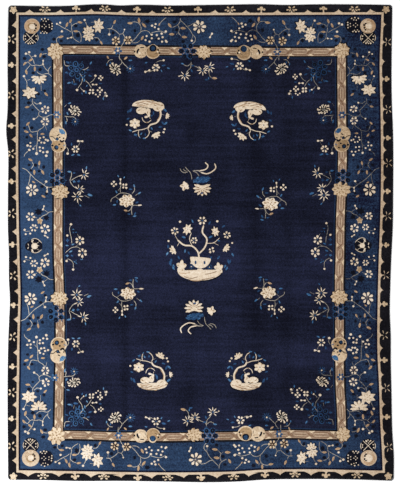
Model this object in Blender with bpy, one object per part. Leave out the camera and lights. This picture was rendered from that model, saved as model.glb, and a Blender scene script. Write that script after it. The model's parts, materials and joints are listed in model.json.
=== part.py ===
"""A Peking rug lying flat: a hand-knotted body of wool pile on a cotton foundation, with
slightly uneven sides and rounded corners, and the dark wool overcasting that finishes its two
long sides and its two ends. Metres, +Z up. The origin is on the floor under the middle of the
rug, +Y runs along its length and +X across its width."""

import math

import bpy
import numpy as np

# Driving dimensions.
WIDTH = 2.74
LENGTH = 3.39
THICKNESS = 0.010
CORNER_RADIUS = 0.022
OVERCAST_WIDTH = 0.007
OVERCAST_HEIGHT = 0.0085
PIECE_GAP = 0.0003

# How finely the outline follows its curve. The middle one of a corner's points is where the
# overcasting of a side meets that of an end.
STATION_SPACING = 0.055
CORNER_POINTS = 5

# The cut edge of the pile, from the floor up: how far in from the body's outline, and how high
# as a share of the thickness.
PILE_EDGE = {
    "inset": (0.0, 0.0, 0.0012, 0.0034),
    "height": (0.0, 0.72, 0.92, 1.0),
}

# Half of the overcasting's section, from the floor up, as shares of its width and height.
OVERCAST_SECTION = {
    "across": (0.28, 0.50, 0.50, 0.28),
    "up": (0.0, 0.26, 0.74, 1.0),
}

# How far each side strays from a straight line. "along" is measured from the middle of the side
# towards +Y or +X, and "out" is positive away from the rug.
RIGHT_SIDE = {
    "along": (-1.69, -1.52, -1.34, -1.05, -0.84, -0.66, -0.48)
    + (-0.30, -0.10, 0.10, 0.34, 0.80, 1.01, 1.69),
    "out": (0.010, 0.011, 0.0, -0.006, -0.011, -0.011, -0.018)
    + (-0.014, -0.007, 0.003, 0.006, 0.005, -0.003, 0.0),
}
FAR_END = {
    "along": (-1.37, -0.90, -0.78, -0.68, -0.58, -0.44, -0.20)
    + (0.0, 0.20, 0.43, 0.62, 0.75, 1.20, 1.37),
    "out": (-0.004, -0.004, 0.004, 0.005, -0.003, 0.002, -0.003)
    + (0.0, 0.003, 0.006, 0.001, 0.004, 0.004, 0.001),
}
LEFT_SIDE = {
    "along": (-1.69, -0.91, -0.73, -0.55, -0.41, -0.26, -0.05)
    + (0.06, 0.38, 0.67, 0.80, 0.93, 1.30, 1.69),
    "out": (-0.001, 0.002, -0.001, -0.008, -0.014, -0.007, -0.006)
    + (-0.001, 0.0, 0.0, 0.013, 0.004, 0.003, -0.003),
}
NEAR_END = {
    "along": (-1.37, -1.14, -0.86, -0.57, -0.28, 0.11)
    + (0.28, 0.46, 0.70, 1.00, 1.20, 1.37),
    "out": (-0.006, -0.004, 0.003, 0.002, 0.006, 0.011)
    + (0.006, -0.007, -0.011, -0.010, -0.005, 0.001),
}

NAVY_PILE = (0.012, 0.013, 0.035, 1.0)
BLACK_OVERCAST = (0.008, 0.008, 0.012, 1.0)


def smooth_offset(side, places):
    """How far out the side lies at each place: a cubic curve through the rows of its table,
    whose slope at a row is that between the row's two neighbours."""
    along = np.array(side["along"])
    out = np.array(side["out"])
    slope = np.gradient(out, along)
    row = np.clip(np.searchsorted(along, places) - 1, 0, len(along) - 2)
    span = along[row + 1] - along[row]
    t = (places - along[row]) / span
    share = t * t * (3 - 2 * t)
    start_bend = t * (1 - t) ** 2 * span * slope[row]
    end_bend = t * t * (t - 1) * span * slope[row + 1]
    return out[row] * (1 - share) + out[row + 1] * share + start_bend + end_bend


def stations(side_length):
    """Even places along a side, from its middle, between its two corners."""
    reach = side_length / 2 - CORNER_RADIUS
    return np.linspace(-reach, reach, round(2 * reach / STATION_SPACING) + 1)


def corner_arc(start, end, centre):
    """The points of a quarter round corner between the last point of one side and the first of
    the next, without those two."""
    angle = np.linspace(0, math.pi / 2, CORNER_POINTS + 2)[1:-1, None]
    return centre + np.cos(angle) * (start - centre) + np.sin(angle) * (end - centre)


def rug_outline():
    """The rug's whole outline, anticlockwise from the foot of its right side, with the middle of
    its box at the origin, and the places in it of the four corners' middles."""
    up, across = stations(LENGTH), stations(WIDTH)
    right = np.column_stack([WIDTH / 2 + smooth_offset(RIGHT_SIDE, up), up])
    far = np.column_stack([across, LENGTH / 2 + smooth_offset(FAR_END, across)])[::-1]
    left = np.column_stack([-WIDTH / 2 - smooth_offset(LEFT_SIDE, up), up])[::-1]
    near = np.column_stack([across, -LENGTH / 2 - smooth_offset(NEAR_END, across)])
    points, middles, count = [], [], 0
    for before, after, turns_off_a_side in (
        (right, far, True),
        (far, left, False),
        (left, near, True),
        (near, right, False),
    ):
        start, end = before[-1], after[0]
        centre = (end[0], start[1]) if turns_off_a_side else (start[0], end[1])
        arc = corner_arc(start, end, np.array(centre))
        points += [before, arc]
        middles.append(count + len(before) + CORNER_POINTS // 2)
        count += len(before) + len(arc)
    outline = np.vstack(points)
    box_middle = (outline.min(axis=0) + outline.max(axis=0)) / 2
    return outline - box_middle, middles


def outward_normals(points):
    """The unit normal at each point of a closed anticlockwise outline: its neighbours' chord
    turned a quarter turn to the right."""
    chord = np.roll(points, -1, axis=0) - np.roll(points, 1, axis=0)
    normal = np.column_stack([chord[:, 1], -chord[:, 0]])
    return normal / np.linalg.norm(normal, axis=1, keepdims=True)


def wool_material(name, colour):
    material = bpy.data.materials.new(name)
    material.use_nodes = True
    shader = material.node_tree.nodes["Principled BSDF"]
    shader.inputs["Base Color"].default_value = colour
    shader.inputs["Roughness"].default_value = 0.9
    shader.inputs["Metallic"].default_value = 0.0
    return material


def add_piece(name, vertices, faces, material):
    mesh = bpy.data.meshes.new(name)
    mesh.from_pydata(vertices.tolist(), [], faces)
    mesh.materials.append(material)
    mesh.validate()
    piece = bpy.data.objects.new(name, mesh)
    bpy.context.scene.collection.objects.link(piece)
    return piece


def skin(ring_count, around):
    """The quads that join each ring of points to the next, where the rings close on
    themselves."""
    quads = []
    for ring in range(ring_count - 1):
        for step in range(around):
            here, there = ring * around + step, ring * around + (step + 1) % around
            quads.append((here, there, there + around, here + around))
    return quads


def knotted_body(outline, normals):
    """The pile body: the outline, drawn in by the overcasting, raised through the rings of
    PILE_EDGE, and closed below and above by triangles that meet in the middle."""
    around = len(outline)
    start = OVERCAST_WIDTH + PIECE_GAP
    rings = []
    for inset, height in zip(PILE_EDGE["inset"], PILE_EDGE["height"]):
        floor_plan = outline - normals * (start + inset)
        rings.append(np.column_stack([floor_plan, np.full(around, height * THICKNESS)]))
    centres = np.array([[0.0, 0.0, 0.0], [0.0, 0.0, THICKNESS]])
    floor_centre = len(rings) * around
    top_ring = (len(rings) - 1) * around
    faces = skin(len(rings), around)
    for step in range(around):
        after = (step + 1) % around
        faces.append((after, step, floor_centre))
        faces.append((top_ring + step, top_ring + after, floor_centre + 1))
    return add_piece(
        "rug", np.vstack(rings + [centres]), faces, wool_material("navy_pile", NAVY_PILE)
    )


def overcast_edge(name, outline, normals, places, material):
    """One side's overcasting: its section, two mirrored halves, carried along the part of the
    outline that the places name. Its ends stop half a gap short of the corner's middle."""
    across = np.array(OVERCAST_SECTION["across"]) * OVERCAST_WIDTH
    up = np.array(OVERCAST_SECTION["up"]) * OVERCAST_HEIGHT
    section_out = np.concatenate([across, -across[::-1]]) - OVERCAST_WIDTH / 2
    section_up = np.concatenate([up, up[::-1]])
    path, sideways = outline[places].copy(), normals[places]
    for end, inner in ((0, 1), (-1, -2)):
        back = path[inner] - path[end]
        path[end] += back / np.linalg.norm(back) * PIECE_GAP / 2
    around = len(section_out)
    floor_plan = path[:, None, :] + sideways[:, None, :] * section_out[None, :, None]
    heights = np.broadcast_to(section_up[None, :, None], (len(path), around, 1))
    vertices = np.concatenate([floor_plan, heights], axis=2).reshape(-1, 3)
    last = (len(path) - 1) * around
    faces = [tuple(reversed(quad)) for quad in skin(len(path), around)]
    faces.append(tuple(range(around)))
    faces.append(tuple(last + step for step in reversed(range(around))))
    return add_piece(name, vertices, faces, material)


def clear_scene():
    for item in list(bpy.data.objects):
        bpy.data.objects.remove(item, do_unlink=True)


def build():
    clear_scene()
    outline, middles = rug_outline()
    normals = outward_normals(outline)
    knotted_body(outline, normals)
    overcast_wool = wool_material("black_overcast", BLACK_OVERCAST)
    names = ("overcast_far", "overcast_left", "overcast_near", "overcast_right")
    for corner, name in enumerate(names):
        first, last = middles[corner], middles[(corner + 1) % len(middles)]
        count = (last - first) % len(outline) + 1
        places = (first + np.arange(count)) % len(outline)
        overcast_edge(name, outline, normals, places, overcast_wool)


build()
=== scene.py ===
# %% [markdown]
# # A Peking rug, from bare frame to finished pile
# A Peking rug is knotted row by row in wool on cotton warps and then shorn level. Its pattern
# is only a change of yarn from knot to knot, and its flowers are often sheared a little proud.
# This lesson follows the knotter: first the ground with its borders, then the guard stripe,
# the flowers, the roundels, and last the overcast edges. Each step is its own short cell.

import json
import math
from collections import namedtuple

import bpy
import numpy as np
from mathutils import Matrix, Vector

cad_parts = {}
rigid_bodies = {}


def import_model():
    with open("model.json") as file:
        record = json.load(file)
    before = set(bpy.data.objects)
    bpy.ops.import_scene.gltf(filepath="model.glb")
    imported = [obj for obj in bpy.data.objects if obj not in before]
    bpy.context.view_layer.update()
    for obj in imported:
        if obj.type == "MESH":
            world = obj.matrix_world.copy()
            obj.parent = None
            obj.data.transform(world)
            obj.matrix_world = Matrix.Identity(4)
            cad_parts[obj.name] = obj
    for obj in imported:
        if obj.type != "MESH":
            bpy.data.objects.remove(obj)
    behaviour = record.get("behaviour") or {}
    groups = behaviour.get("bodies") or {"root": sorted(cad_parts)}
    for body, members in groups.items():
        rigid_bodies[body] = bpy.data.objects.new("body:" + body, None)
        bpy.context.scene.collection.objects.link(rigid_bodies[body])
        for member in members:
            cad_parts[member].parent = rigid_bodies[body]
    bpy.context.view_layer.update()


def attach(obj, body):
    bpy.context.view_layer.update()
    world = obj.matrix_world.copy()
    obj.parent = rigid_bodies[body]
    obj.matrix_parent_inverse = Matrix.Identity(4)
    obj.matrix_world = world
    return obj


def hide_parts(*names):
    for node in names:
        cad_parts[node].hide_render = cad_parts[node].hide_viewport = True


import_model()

# %% [markdown]
# ## The knotter's chart
# A knotter reads the pattern from a chart of squares pinned above the loom. Here one square is
# 7.12 mm, and a place is given in squares across and down from the chart's far left corner.
# Turning squares into metres in one function keeps every later drawing free of conversions.
# Tables are written as plain text, as a knotter notes them, and read by two small functions.

# %% The chart
SQUARE = 0.00712
CHART_WIDE, CHART_TALL = 400, 488
CHART_MIDDLE = (200.05, 243.2)


def on_rug(across, down):
    """Metres on the rug: x = (across - middle) * square, y = (middle - down) * square."""
    x = (np.asarray(across, float) - CHART_MIDDLE[0]) * SQUARE
    y = (CHART_MIDDLE[1] - np.asarray(down, float)) * SQUARE
    return x, y


def numbers(text):
    """The rows of a written table: commas part its rows, and spaces the numbers of a row."""
    return [[float(word) for word in row.split()] for row in text.split(",")]


def side_table(text):
    """A table for each side of the rug, as written: its name, a colon, rows, and a semicolon."""
    return {part.split(":")[0].strip(): numbers(part.split(":")[1]) for part in text.split(";")}


def smooth_curve(places, values, at):
    """A cubic curve through a table's rows: on each span it is the Hermite cubic whose end
    slopes are those between the row's two neighbours."""
    places = np.asarray(places, float)
    values = np.asarray(values, float)
    slope = np.gradient(values, places)
    row = np.clip(np.searchsorted(places, at) - 1, 0, len(places) - 2)
    span = places[row + 1] - places[row]
    t = (at - places[row]) / span
    share = t * t * (3 - 2 * t)
    start_bend = t * (1 - t) ** 2 * span * slope[row]
    end_bend = t * t * (t - 1) * span * slope[row + 1]
    return values[row] * (1 - share) + values[row + 1] * share + start_bend + end_bend


print("The chart is", round(CHART_WIDE * SQUARE, 3), "m wide")

# %% [markdown]
# ## The uneven lines of a hand-made rug
# No line of a hand-knotted rug is straight: warps give under the beater and the sides draw in.
# Three lines are charted on each side, the rug's own edge, the middle of its cream guard stripe
# and the middle of its tan band. Every other line keeps its distance from one of them, so the
# borders wander together as they do on the loom.

# %% The rug's edge, the guard stripe and the tan band
WIDTH = 2.74
LENGTH = 3.39
THICKNESS = 0.010
CORNER_RADIUS = 0.022
EDGE_SAMPLES = 400
SIDES = ("right", "far", "left", "near")
LONG_SIDES = ("right", "left")
OUTWARD = {"right": (1, 0), "far": (0, 1), "left": (-1, 0), "near": (0, -1)}

# Metres, as in the frame: along the side from its middle, and out away from the rug.
EDGE_WAVES = side_table("""
right: -1.69 .01, -1.52 .011, -1.34 0, -1.05 -.006, -.84 -.011, -.66 -.011, -.48 -.018, -.3 -.014,
-.1 -.007, .1 .003, .34 .006, .8 .005, 1.01 -.003, 1.69 0;
far: -1.37 -.004, -.9 -.004, -.78 .004, -.68 .005, -.58 -.003, -.44 .002, -.2 -.003, 0 0, .2 .003,
.43 .006, .62 .001, .75 .004, 1.2 .004, 1.37 .001;
left: -1.69 -.001, -.91 .002, -.73 -.001, -.55 -.008, -.41 -.014, -.26 -.007, -.05 -.006, .06 -.001,
.38 0, .67 0, .8 .013, .93 .004, 1.3 .003, 1.69 -.003;
near: -1.37 -.006, -1.14 -.004, -.86 .003, -.57 .002, -.28 .006, .11 .011, .28 .006, .46 -.007,
.7 -.011, 1 -.01, 1.2 -.005, 1.37 .001
""")
# Chart squares: places along the side, and where the line's middle lies there.
LINES = {
    "guard": side_table("""
right: 5 382.8, 20 382.4, 60 380.9, 120 381.9, 200 381.9, 230 381, 260 379.9, 300 378.9, 360 378.9,
380 380, 420 381.3, 460 383.5, 480 384;
far: 5 13.6, 60 13.6, 95 12.8, 130 13.9, 160 14.3, 180 14.3, 210 14, 270 13.8, 320 13.5, 395 13.3;
left: 5 17.4, 60 17.3, 200 17.3, 250 18.2, 275 18.9, 300 19.4, 320 18.9, 345 18.3, 370 18.1, 400 17.6,
480 17.5;
near: 5 471.2, 80 472.4, 140 473.4, 200 473.4, 240 472.4, 260 471, 290 470.4, 330 470.6, 360 471.4,
395 471.9
"""),
    "tan": side_table("""
right: 40 341.6, 78 341.6, 118 341.9, 158 342.4, 198 341.2, 222 340.3, 254 339.9, 286 339.2, 326 339.5,
366 339.6, 390 340.1, 406 341.1, 445 342.1;
far: 50 49.7, 90 49.8, 106 50, 130 50.5, 178 51, 218 51, 234 51.3, 266 51.9, 290 52.1, 350 52;
left: 40 57.6, 86 57.8, 150 58.2, 206 58.2, 262 58.4, 278 59.1, 286 59.4, 326 60.1, 366 59.8, 382 59.4,
398 59.2, 414 58.9, 445 58.3;
near: 50 434.7, 82 435.2, 114 436.3, 130 436.6, 170 437.1, 218 436.2, 234 436, 266 435, 290 434.1,
314 434.8, 350 435.4
"""),
}
GUARD_HALF = 1.2
TAN_HALF = {"right": 4.15, "far": 3.85, "left": 4.15, "near": 3.85}


def edge_line(side, along):
    """The rug's edge on one side: half the rug's size plus its wave, in metres."""
    half = (WIDTH if side in LONG_SIDES else LENGTH) / 2
    return half + smooth_curve(*np.transpose(EDGE_WAVES[side]), along)


def charted_line(line, side, along):
    """A charted line's distance from the rug's middle, in metres, at places along the side."""
    upright = side in LONG_SIDES
    along = np.asarray(along) / SQUARE
    at = CHART_MIDDLE[1] - along if upright else CHART_MIDDLE[0] + along
    place = smooth_curve(*np.transpose(LINES[line][side]), at)
    return abs(place - CHART_MIDDLE[0 if upright else 1]) * SQUARE


reach = {}
for side in SIDES:
    half = (LENGTH if side in LONG_SIDES else WIDTH) / 2 - CORNER_RADIUS
    reach[side] = edge_line(side, np.linspace(-half, half, EDGE_SAMPLES)).max()
# The frame stands about its own middle, so both edges of a pair shift by half their difference.
EDGE_SHIFT = {}
for one, other in (("right", "left"), ("far", "near")):
    EDGE_SHIFT[one] = -(reach[one] - reach[other]) / 2
    EDGE_SHIFT[other] = -EDGE_SHIFT[one]
print("The edge reaches", {side: round(float(reach[side] + EDGE_SHIFT[side]), 4) for side in SIDES})

# %% [markdown]
# ## Rings of stations
# Every border is a closed ring, so the whole rug can be one function of two parameters: how
# far round the rug, and how far in. A ring takes a line and an inset, finds its four corners
# where neighbouring sides meet, and spreads the same stations between them.

# %% Rings
STATION_SPACING = 0.045
CORNER_STEPS = (0.0, 0.25, 0.5, 0.75)


def line_distance(line, side, along):
    """Distance of a named line from the rug's middle, measured outwards on one side."""
    if line == "edge":
        return edge_line(side, along) + EDGE_SHIFT[side]
    return charted_line(line, side, along)


def side_shares(length):
    """Shares of a side's length: close steps within the corner radius and even ones between."""
    near_corner = np.array(CORNER_STEPS) * CORNER_RADIUS / length
    first = CORNER_RADIUS / length
    count = round((1 - 2 * first) * length / STATION_SPACING) + 1
    even = np.linspace(first, 1 - first, count)
    return np.concatenate([near_corner, even, 1 - near_corner[::-1]])


SHARES = {side: side_shares(LENGTH if side in LONG_SIDES else WIDTH) for side in SIDES}


def ring_corner(line, inset, first, second):
    """Where two neighbouring sides of a ring meet: each side's distance is read at the place
    that the other gives, starting from the rug's own corner and repeating three times."""
    guess = {}
    places = {side: (LENGTH if side in LONG_SIDES else WIDTH) / 2 for side in (first, second)}
    for _ in range(3):
        for side, other in ((first, second), (second, first)):
            sign = sum(OUTWARD[other])
            guess[side] = float(line_distance(line, side, sign * places[side])) - inset[side]
        places = {first: guess[second], second: guess[first]}
    x_side, y_side = (first, second) if first in LONG_SIDES else (second, first)
    return np.array([OUTWARD[x_side][0] * guess[x_side], OUTWARD[y_side][1] * guess[y_side]])


def ring(line, inset, rounded=False):
    """A closed ring, anticlockwise from the near right corner. On each side a station lies at
    corner + share * (next corner - corner) along the side and at the line's distance less the
    inset across it. rounded turns the stations within the corner radius into a quarter round."""
    inset = inset if isinstance(inset, dict) else dict.fromkeys(SIDES, inset)
    corners = [ring_corner(line, inset, SIDES[i - 1], SIDES[i]) for i in range(4)]
    points = []
    for i, side in enumerate(SIDES):
        start, end = corners[i], corners[(i + 1) % 4]
        axis = int(side in LONG_SIDES)
        share = SHARES[side][:-1]
        along = start[axis] + share * (end[axis] - start[axis])
        rounding = 0.0
        if rounded:
            from_corner = np.minimum(share, 1 - share) * abs(end[axis] - start[axis])
            turn = np.clip(1 - from_corner / CORNER_RADIUS, 0, 1) * math.pi / 4
            nearer = np.where(share < 0.5, start[axis], end[axis])
            inward = np.where(share < 0.5, 1, -1) * np.sign(end[axis] - start[axis])
            on_arc = nearer + inward * CORNER_RADIUS * (1 - np.sin(turn))
            along = np.where(turn > 0, on_arc, along)
            rounding = CORNER_RADIUS * (1 - np.cos(turn))
        flat = np.zeros((len(share), 2))
        flat[:, axis] = along
        distance = line_distance(line, side, along) - inset[side] - rounding
        flat[:, 1 - axis] = sum(OUTWARD[side]) * distance
        if not rounded:
            flat[0] = start
        points.append(flat)
    return np.vstack(points)


edge_ring = ring("edge", 0.0, rounded=True)
print("The edge ring has", len(edge_ring), "stations and spans", np.ptp(edge_ring, axis=0).round(4))

# %% [markdown]
# ## Meshes from arrays
# A mesh of a hundred thousand faces is slow to make face by face. Blender takes whole arrays
# with foreach_set, so each piece gathers its corners and faces as numpy arrays first, and one
# helper turns them into an object. The same helper lays a flat map over the piece, seen from
# above, which suits a thing that is nearly all top.

# %% From arrays to an object
MAP_NAME = "OFBake"
MAP_MARGIN = 0.01


class Mesh:
    """Corners and faces gathered from many small grids, with a finish number for each face."""

    def __init__(self):
        self.corners, self.faces, self.finishes, self.count = [], [], [], 0

    def add(self, corners, faces, finish=0):
        """Adds corners, and faces whose numbers count from the first of these corners."""
        for group in faces:
            self.faces.append(np.asarray(group, int) + self.count)
            self.finishes.append(np.full(len(group), finish))
        self.corners.append(np.asarray(corners, float).reshape(-1, 3))
        self.count += len(self.corners[-1])


def as_object(name, gathered, materials):
    """A mesh object from gathered arrays, with the map u = x across, v = y along its box."""
    corners = np.vstack(gathered.corners)
    loops = np.concatenate([group.ravel() for group in gathered.faces])
    sizes = np.concatenate([np.full(len(group), group.shape[1]) for group in gathered.faces])
    mesh = bpy.data.meshes.new(name)
    mesh.vertices.add(len(corners))
    mesh.vertices.foreach_set("co", corners.astype(np.float32).ravel())
    mesh.loops.add(len(loops))
    mesh.loops.foreach_set("vertex_index", loops.astype(np.int32))
    mesh.polygons.add(len(sizes))
    mesh.polygons.foreach_set("loop_start", (np.cumsum(sizes) - sizes).astype(np.int32))
    mesh.polygons.foreach_set("material_index", np.concatenate(gathered.finishes).astype(np.int32))
    for material in materials:
        mesh.materials.append(material)
    mesh.update(calc_edges=True)
    mesh.validate()
    low, high = corners[:, :2].min(axis=0), corners[:, :2].max(axis=0)
    seen = np.zeros(len(mesh.loops), np.int32)
    mesh.loops.foreach_get("vertex_index", seen)
    flat = MAP_MARGIN + (1 - 2 * MAP_MARGIN) * (corners[seen, :2] - low) / (high - low)
    mesh.uv_layers.new(name=MAP_NAME).uv.foreach_set("vector", flat.astype(np.float32).ravel())
    mesh.shade_smooth()
    piece = bpy.data.objects.new(name, mesh)
    bpy.context.scene.collection.objects.link(piece)
    print(f"{name}: {(sizes - 2).sum()} triangles")
    return piece


def rows_of_quads(rows, around, closed=True):
    """Quads between each row of stations and the next: corners (row, station), (row, station
    + 1), (row + 1, station + 1) and (row + 1, station)."""
    row, step = np.meshgrid(np.arange(rows - 1), np.arange(around - (not closed)), indexing="ij")
    here = row * around + step
    there = row * around + (step + 1) % around
    return np.stack([here, there, there + around, here + around], axis=-1).reshape(-1, 4)


def fan(ring_start, around, centre, turned=False):
    """Triangles from each station of a ring to one centre corner."""
    step = ring_start + np.arange(around)
    after = ring_start + (np.arange(around) + 1) % around
    first, second = (after, step) if turned else (step, after)
    return np.column_stack([first, second, np.full(around, centre)])


print("Two closed rows of 8 stations are joined by", len(rows_of_quads(2, 8)), "faces")

# %% [markdown]
# ## Writing a finish
# A finish in Blender is a small wiring of nodes, drawn by hand or, as here, written in code.
# Nearly all of this rug's wiring is sums and ramps of noise, so a few short functions write it:
# a node with its links, a weighted sum about the middle value 0.5, and a ramp of colours.

# %% Helpers for a finish
def dye(code):
    """A linear colour from a dyer's six-digit shade: ((s + 0.055) / 1.055) ** 2.4."""
    parts = [int(code[i : i + 2], 16) / 255 for i in (0, 2, 4)]
    linear = [((s + 0.055) / 1.055) ** 2.4 if s > 0.04045 else s / 12.92 for s in parts]
    return (*linear, 1.0)


def new_material(name):
    """A new material, with its tree of nodes and its shader."""
    material = bpy.data.materials.new(name)
    material.use_nodes = True
    tree = material.node_tree
    return material, tree, tree.nodes["Principled BSDF"]


def add_node(tree, kind, inputs=None, **settings):
    """The first output of a new node of a kind, with its settings, and its inputs linked to
    sockets or set to values."""
    node = tree.nodes.new("ShaderNode" + kind)
    for key, value in settings.items():
        setattr(node, key, value)
    for key, value in (inputs or {}).items():
        if isinstance(value, bpy.types.NodeSocket):
            tree.links.new(value, node.inputs[key])
        else:
            node.inputs[key].default_value = value
    return node.outputs[0]


def scaled_sum(tree, value, weight, start):
    """value * weight + start."""
    return add_node(tree, "Math", {0: value, 1: weight, 2: start}, operation="MULTIPLY_ADD")


def weighted_sum(tree, start, terms):
    """start + the sum of weight * (value - 0.5) over the terms, as a chain of nodes."""
    for value, weight in terms:
        centred = add_node(tree, "Math", {0: value, 1: -0.5}, operation="ADD")
        start = scaled_sum(tree, centred, weight, start)
    return start


def noise(tree, place, scale, detail):
    """Flat noise from 0 to 1 whose clouds are about 1 / scale across."""
    return add_node(tree, "TexNoise", {"Vector": place, "Scale": scale, "Detail": detail},
                    noise_dimensions="2D")


def colour_ramp(tree, value, stops, interpolation="LINEAR"):
    """A ramp through (place, colour) stops, the first two of which it has from the start."""
    colour = add_node(tree, "ValToRGB", {0: value})
    ramp = colour.node.color_ramp
    ramp.interpolation = interpolation
    for i, (place, shade) in enumerate(stops):
        stop = ramp.elements[i] if i < 2 else ramp.elements.new(place)
        stop.position, stop.color = place, shade
    return colour


def shade_along(tree, place, axis, table):
    """A value that follows a table of chart places and shades, across or down the rug. It is
    read from a ramp at u = (place / square + middle) / tall, and 0.5 leaves the shade as it is."""
    sign = (1, -1)[axis]
    apart = add_node(tree, "SeparateXYZ", {0: place}).node.outputs[axis]
    share = scaled_sum(tree, apart, sign / SQUARE / CHART_TALL, CHART_MIDDLE[axis] / CHART_TALL)
    stops = [(square / CHART_TALL, (*[0.5 + shade] * 3, 1.0)) for square, shade in table]
    return colour_ramp(tree, share, stops, "EASE")


print("A dyer's mid grey, 808080, is", round(dye("808080")[0], 3), "in linear light")

# %% [markdown]
# ## Wool
# Every yarn of the rug is the same wool in another dye, so one function makes them all. Seen
# close, the pile is a grid of knots about 3.4 mm apart, each a tuft of its own shade. Voronoi
# cells with a little randomness give both the tuft's bump and, by their colour, the shade of
# each knot. Broader noise stands for uneven dyeing, and noise drawn out across the rug for
# abrash, the faint bands where the knotter began a new batch of yarn.

# %% Dyed wool pile
KNOTS_PER_METRE = 290
KNOT_UNEVENNESS = 0.35
TUFT_HEIGHT = 0.0011
TUFT_HOLLOW = -0.8
BUMP_STRENGTH = 0.7
WOOL_ROUGHNESS = (0.80, 0.97)
WOOL_SHINE = 0.04
WOOL_SHEEN = 0.02
# Noises by how many of their clouds lie in a metre, and abrash stretched across the rug.
CLOUDS, HEATHER, FIBRES = 4.5, 70.0, 1500.0
ABRASH = (1.8, 48.0, 1.0)
FINISHES = {}


def wool_pile(name, dyes, drift, knots=0.5, dyeing=0.6, abrash=0.25, crease_light_and_shade=None, lots=None):
    """Cut wool pile. Its shade runs from deep through mid to pale as a weighted sum of each
    knot's own shade, two sizes of cloudy dyeing, abrash, and a drift across the rug.
    crease_light_and_shade paints the light and shade of creases by a table across the rug, and
    lots shade it further by a table down the rug."""
    deep, mid, pale = (dye(code) for code in dyes.split())
    material, tree, shader = new_material(name)
    place = add_node(tree, "TexCoord").node.outputs["Object"]
    flat = add_node(tree, "VectorMath", {0: place, 1: (1, 1, 0)}, operation="MULTIPLY")
    knot = add_node(tree, "TexVoronoi", {"Vector": flat, "Scale": KNOTS_PER_METRE,
                    "Randomness": KNOT_UNEVENNESS}, voronoi_dimensions="2D").node
    shade = add_node(tree, "SeparateColor", {0: knot.outputs["Color"]})
    heather = noise(tree, flat, HEATHER, 3.0)
    drawn = add_node(tree, "Mapping", {0: flat, "Scale": ABRASH})
    terms = [(shade, knots), (noise(tree, flat, CLOUDS, 4.0), dyeing), (heather, dyeing),
             (noise(tree, drawn, 1.0, 3.0), abrash)]
    # Tables across the rug paint the light and shade of creases; tables down it are lots of yarn.
    terms += [(shade_along(tree, place, axis, numbers(table)), 1.0)
              for axis, table in ((0, crease_light_and_shade), (1, lots)) if table]
    leaning = add_node(tree, "VectorMath", {0: flat, 1: (*drift, 0)}, operation="DOT_PRODUCT")
    start = add_node(tree, "Math", {0: leaning.node.outputs["Value"], 1: 0.5}, operation="ADD")
    tone = weighted_sum(tree, start, terms)
    colours = colour_ramp(tree, tone, ((0.0, deep), (1.0, pale), (0.5, mid)))
    tree.links.new(colours, shader.inputs["Base Color"])
    fibre = noise(tree, flat, FIBRES, 2.0)
    rough = add_node(tree, "MapRange", {0: fibre, 3: WOOL_ROUGHNESS[0], 4: WOOL_ROUGHNESS[1]})
    tree.links.new(rough, shader.inputs["Roughness"])
    hollow = scaled_sum(tree, knot.outputs["Distance"], TUFT_HOLLOW, 0.5)
    height = weighted_sum(tree, hollow, ((fibre, 0.5), (heather, 0.9)))
    bump = add_node(tree, "Bump", {"Height": height, "Strength": BUMP_STRENGTH, "Distance": TUFT_HEIGHT})
    tree.links.new(bump, shader.inputs["Normal"])
    shader.inputs["Specular IOR Level"].default_value = WOOL_SHINE
    shader.inputs["Sheen Weight"].default_value = WOOL_SHEEN
    shader.inputs["Sheen Roughness"].default_value = 0.5
    FINISHES[name] = material


# %% [markdown]
# ## The yarns of the ground
# Every dye drifts, paler towards the rug's near left corner and darker towards its far right.
# The field and the borders also carry soft lights and darks. Across the rug they are painted
# light and shade where the rug is creased, and down it they are lots of yarn. Each row holds a
# chart place and how far the shade there leaves the dye, so that a table says what a painted
# mask would, and can be read.

# %% Dyes of the ground
# Dyes drift paler towards the near left corner and darker towards the far right.
PALER_TOWARDS_NEAR_LEFT = (-0.14, -0.05)
wool_pile("black_wool", "050407 0d0c10 201f25", (-0.03, -0.01), knots=0.4,
          lots="7 .24, 14 .04, 474 .06, 480 .2")
wool_pile("navy_line_wool", "06081a 090b1e 12182f", (-0.05, 0.0))
# The field's table across the rug paints the light and shade of creases.
wool_pile("navy_field_wool", "080914 16192a 232741", (-0.08, -0.01), knots=0.6, abrash=0.6,
          crease_light_and_shade="66 -.06, 112 -.02, 119 -.08, 125 -.26, 131 -.02, 140 0, 180 -.02, 190 -.12, 200 .02, "
                "235 .06, 247 -.06, 255 -.2, 262 -.12, 276 -.02, 286 -.1, 298 0, 330 0",
          lots="55 -.06, 100 -.02, 130 -.08, 180 -.12, 208 -.11, 232 0, 250 .1, 292 .1, 306 -.06, "
               "320 -.14, 342 0, 358 .14, 370 0, 395 -.08, 420 0")
# The border's table across the rug paints the light and shade of creases.
wool_pile("blue_border_wool", "0a091c 23344d 314868", (-0.23, -0.03), knots=0.5, dyeing=0.8, abrash=0.45,
          crease_light_and_shade="36 -.04, 90 -.06, 125 -.12, 160 -.12, 240 -.07, 310 .12, 362 0",
          lots="30 0, 80 .05, 165 -.02, 245 -.04, 330 -.03, 400 0, 455 0")
# The band's table across the rug paints the shade of a crease.
wool_pile("tan_band_wool", "685748 8f7865 b1957e", (-0.05, -0.01), knots=0.35,
          crease_light_and_shade="200 0, 228 -.16, 262 0", lots="60 0, 160 0, 215 .14, 285 .14, 350 -.02, 440 0")
wool_pile("thin_blue_wool", "101c31 1a2a43 2a4060", PALER_TOWARDS_NEAR_LEFT)
print(len(FINISHES), "yarns dyed")

# %% [markdown]
# ## The ground
# The ground is one closed slab of pile. From the floor up it follows the rings of the cut
# edge, then on top it runs inwards through the border lines, and each zone between two lines
# takes its own yarn. The field inside the last ring is filled by a Coons patch, which blends
# the four wandering sides of that ring into one even grid.

# %% The ground slab
OVERCAST_WIDTH = 0.007
PIECE_GAP = 0.0003
PILE_SWELL = 0.0003
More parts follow.
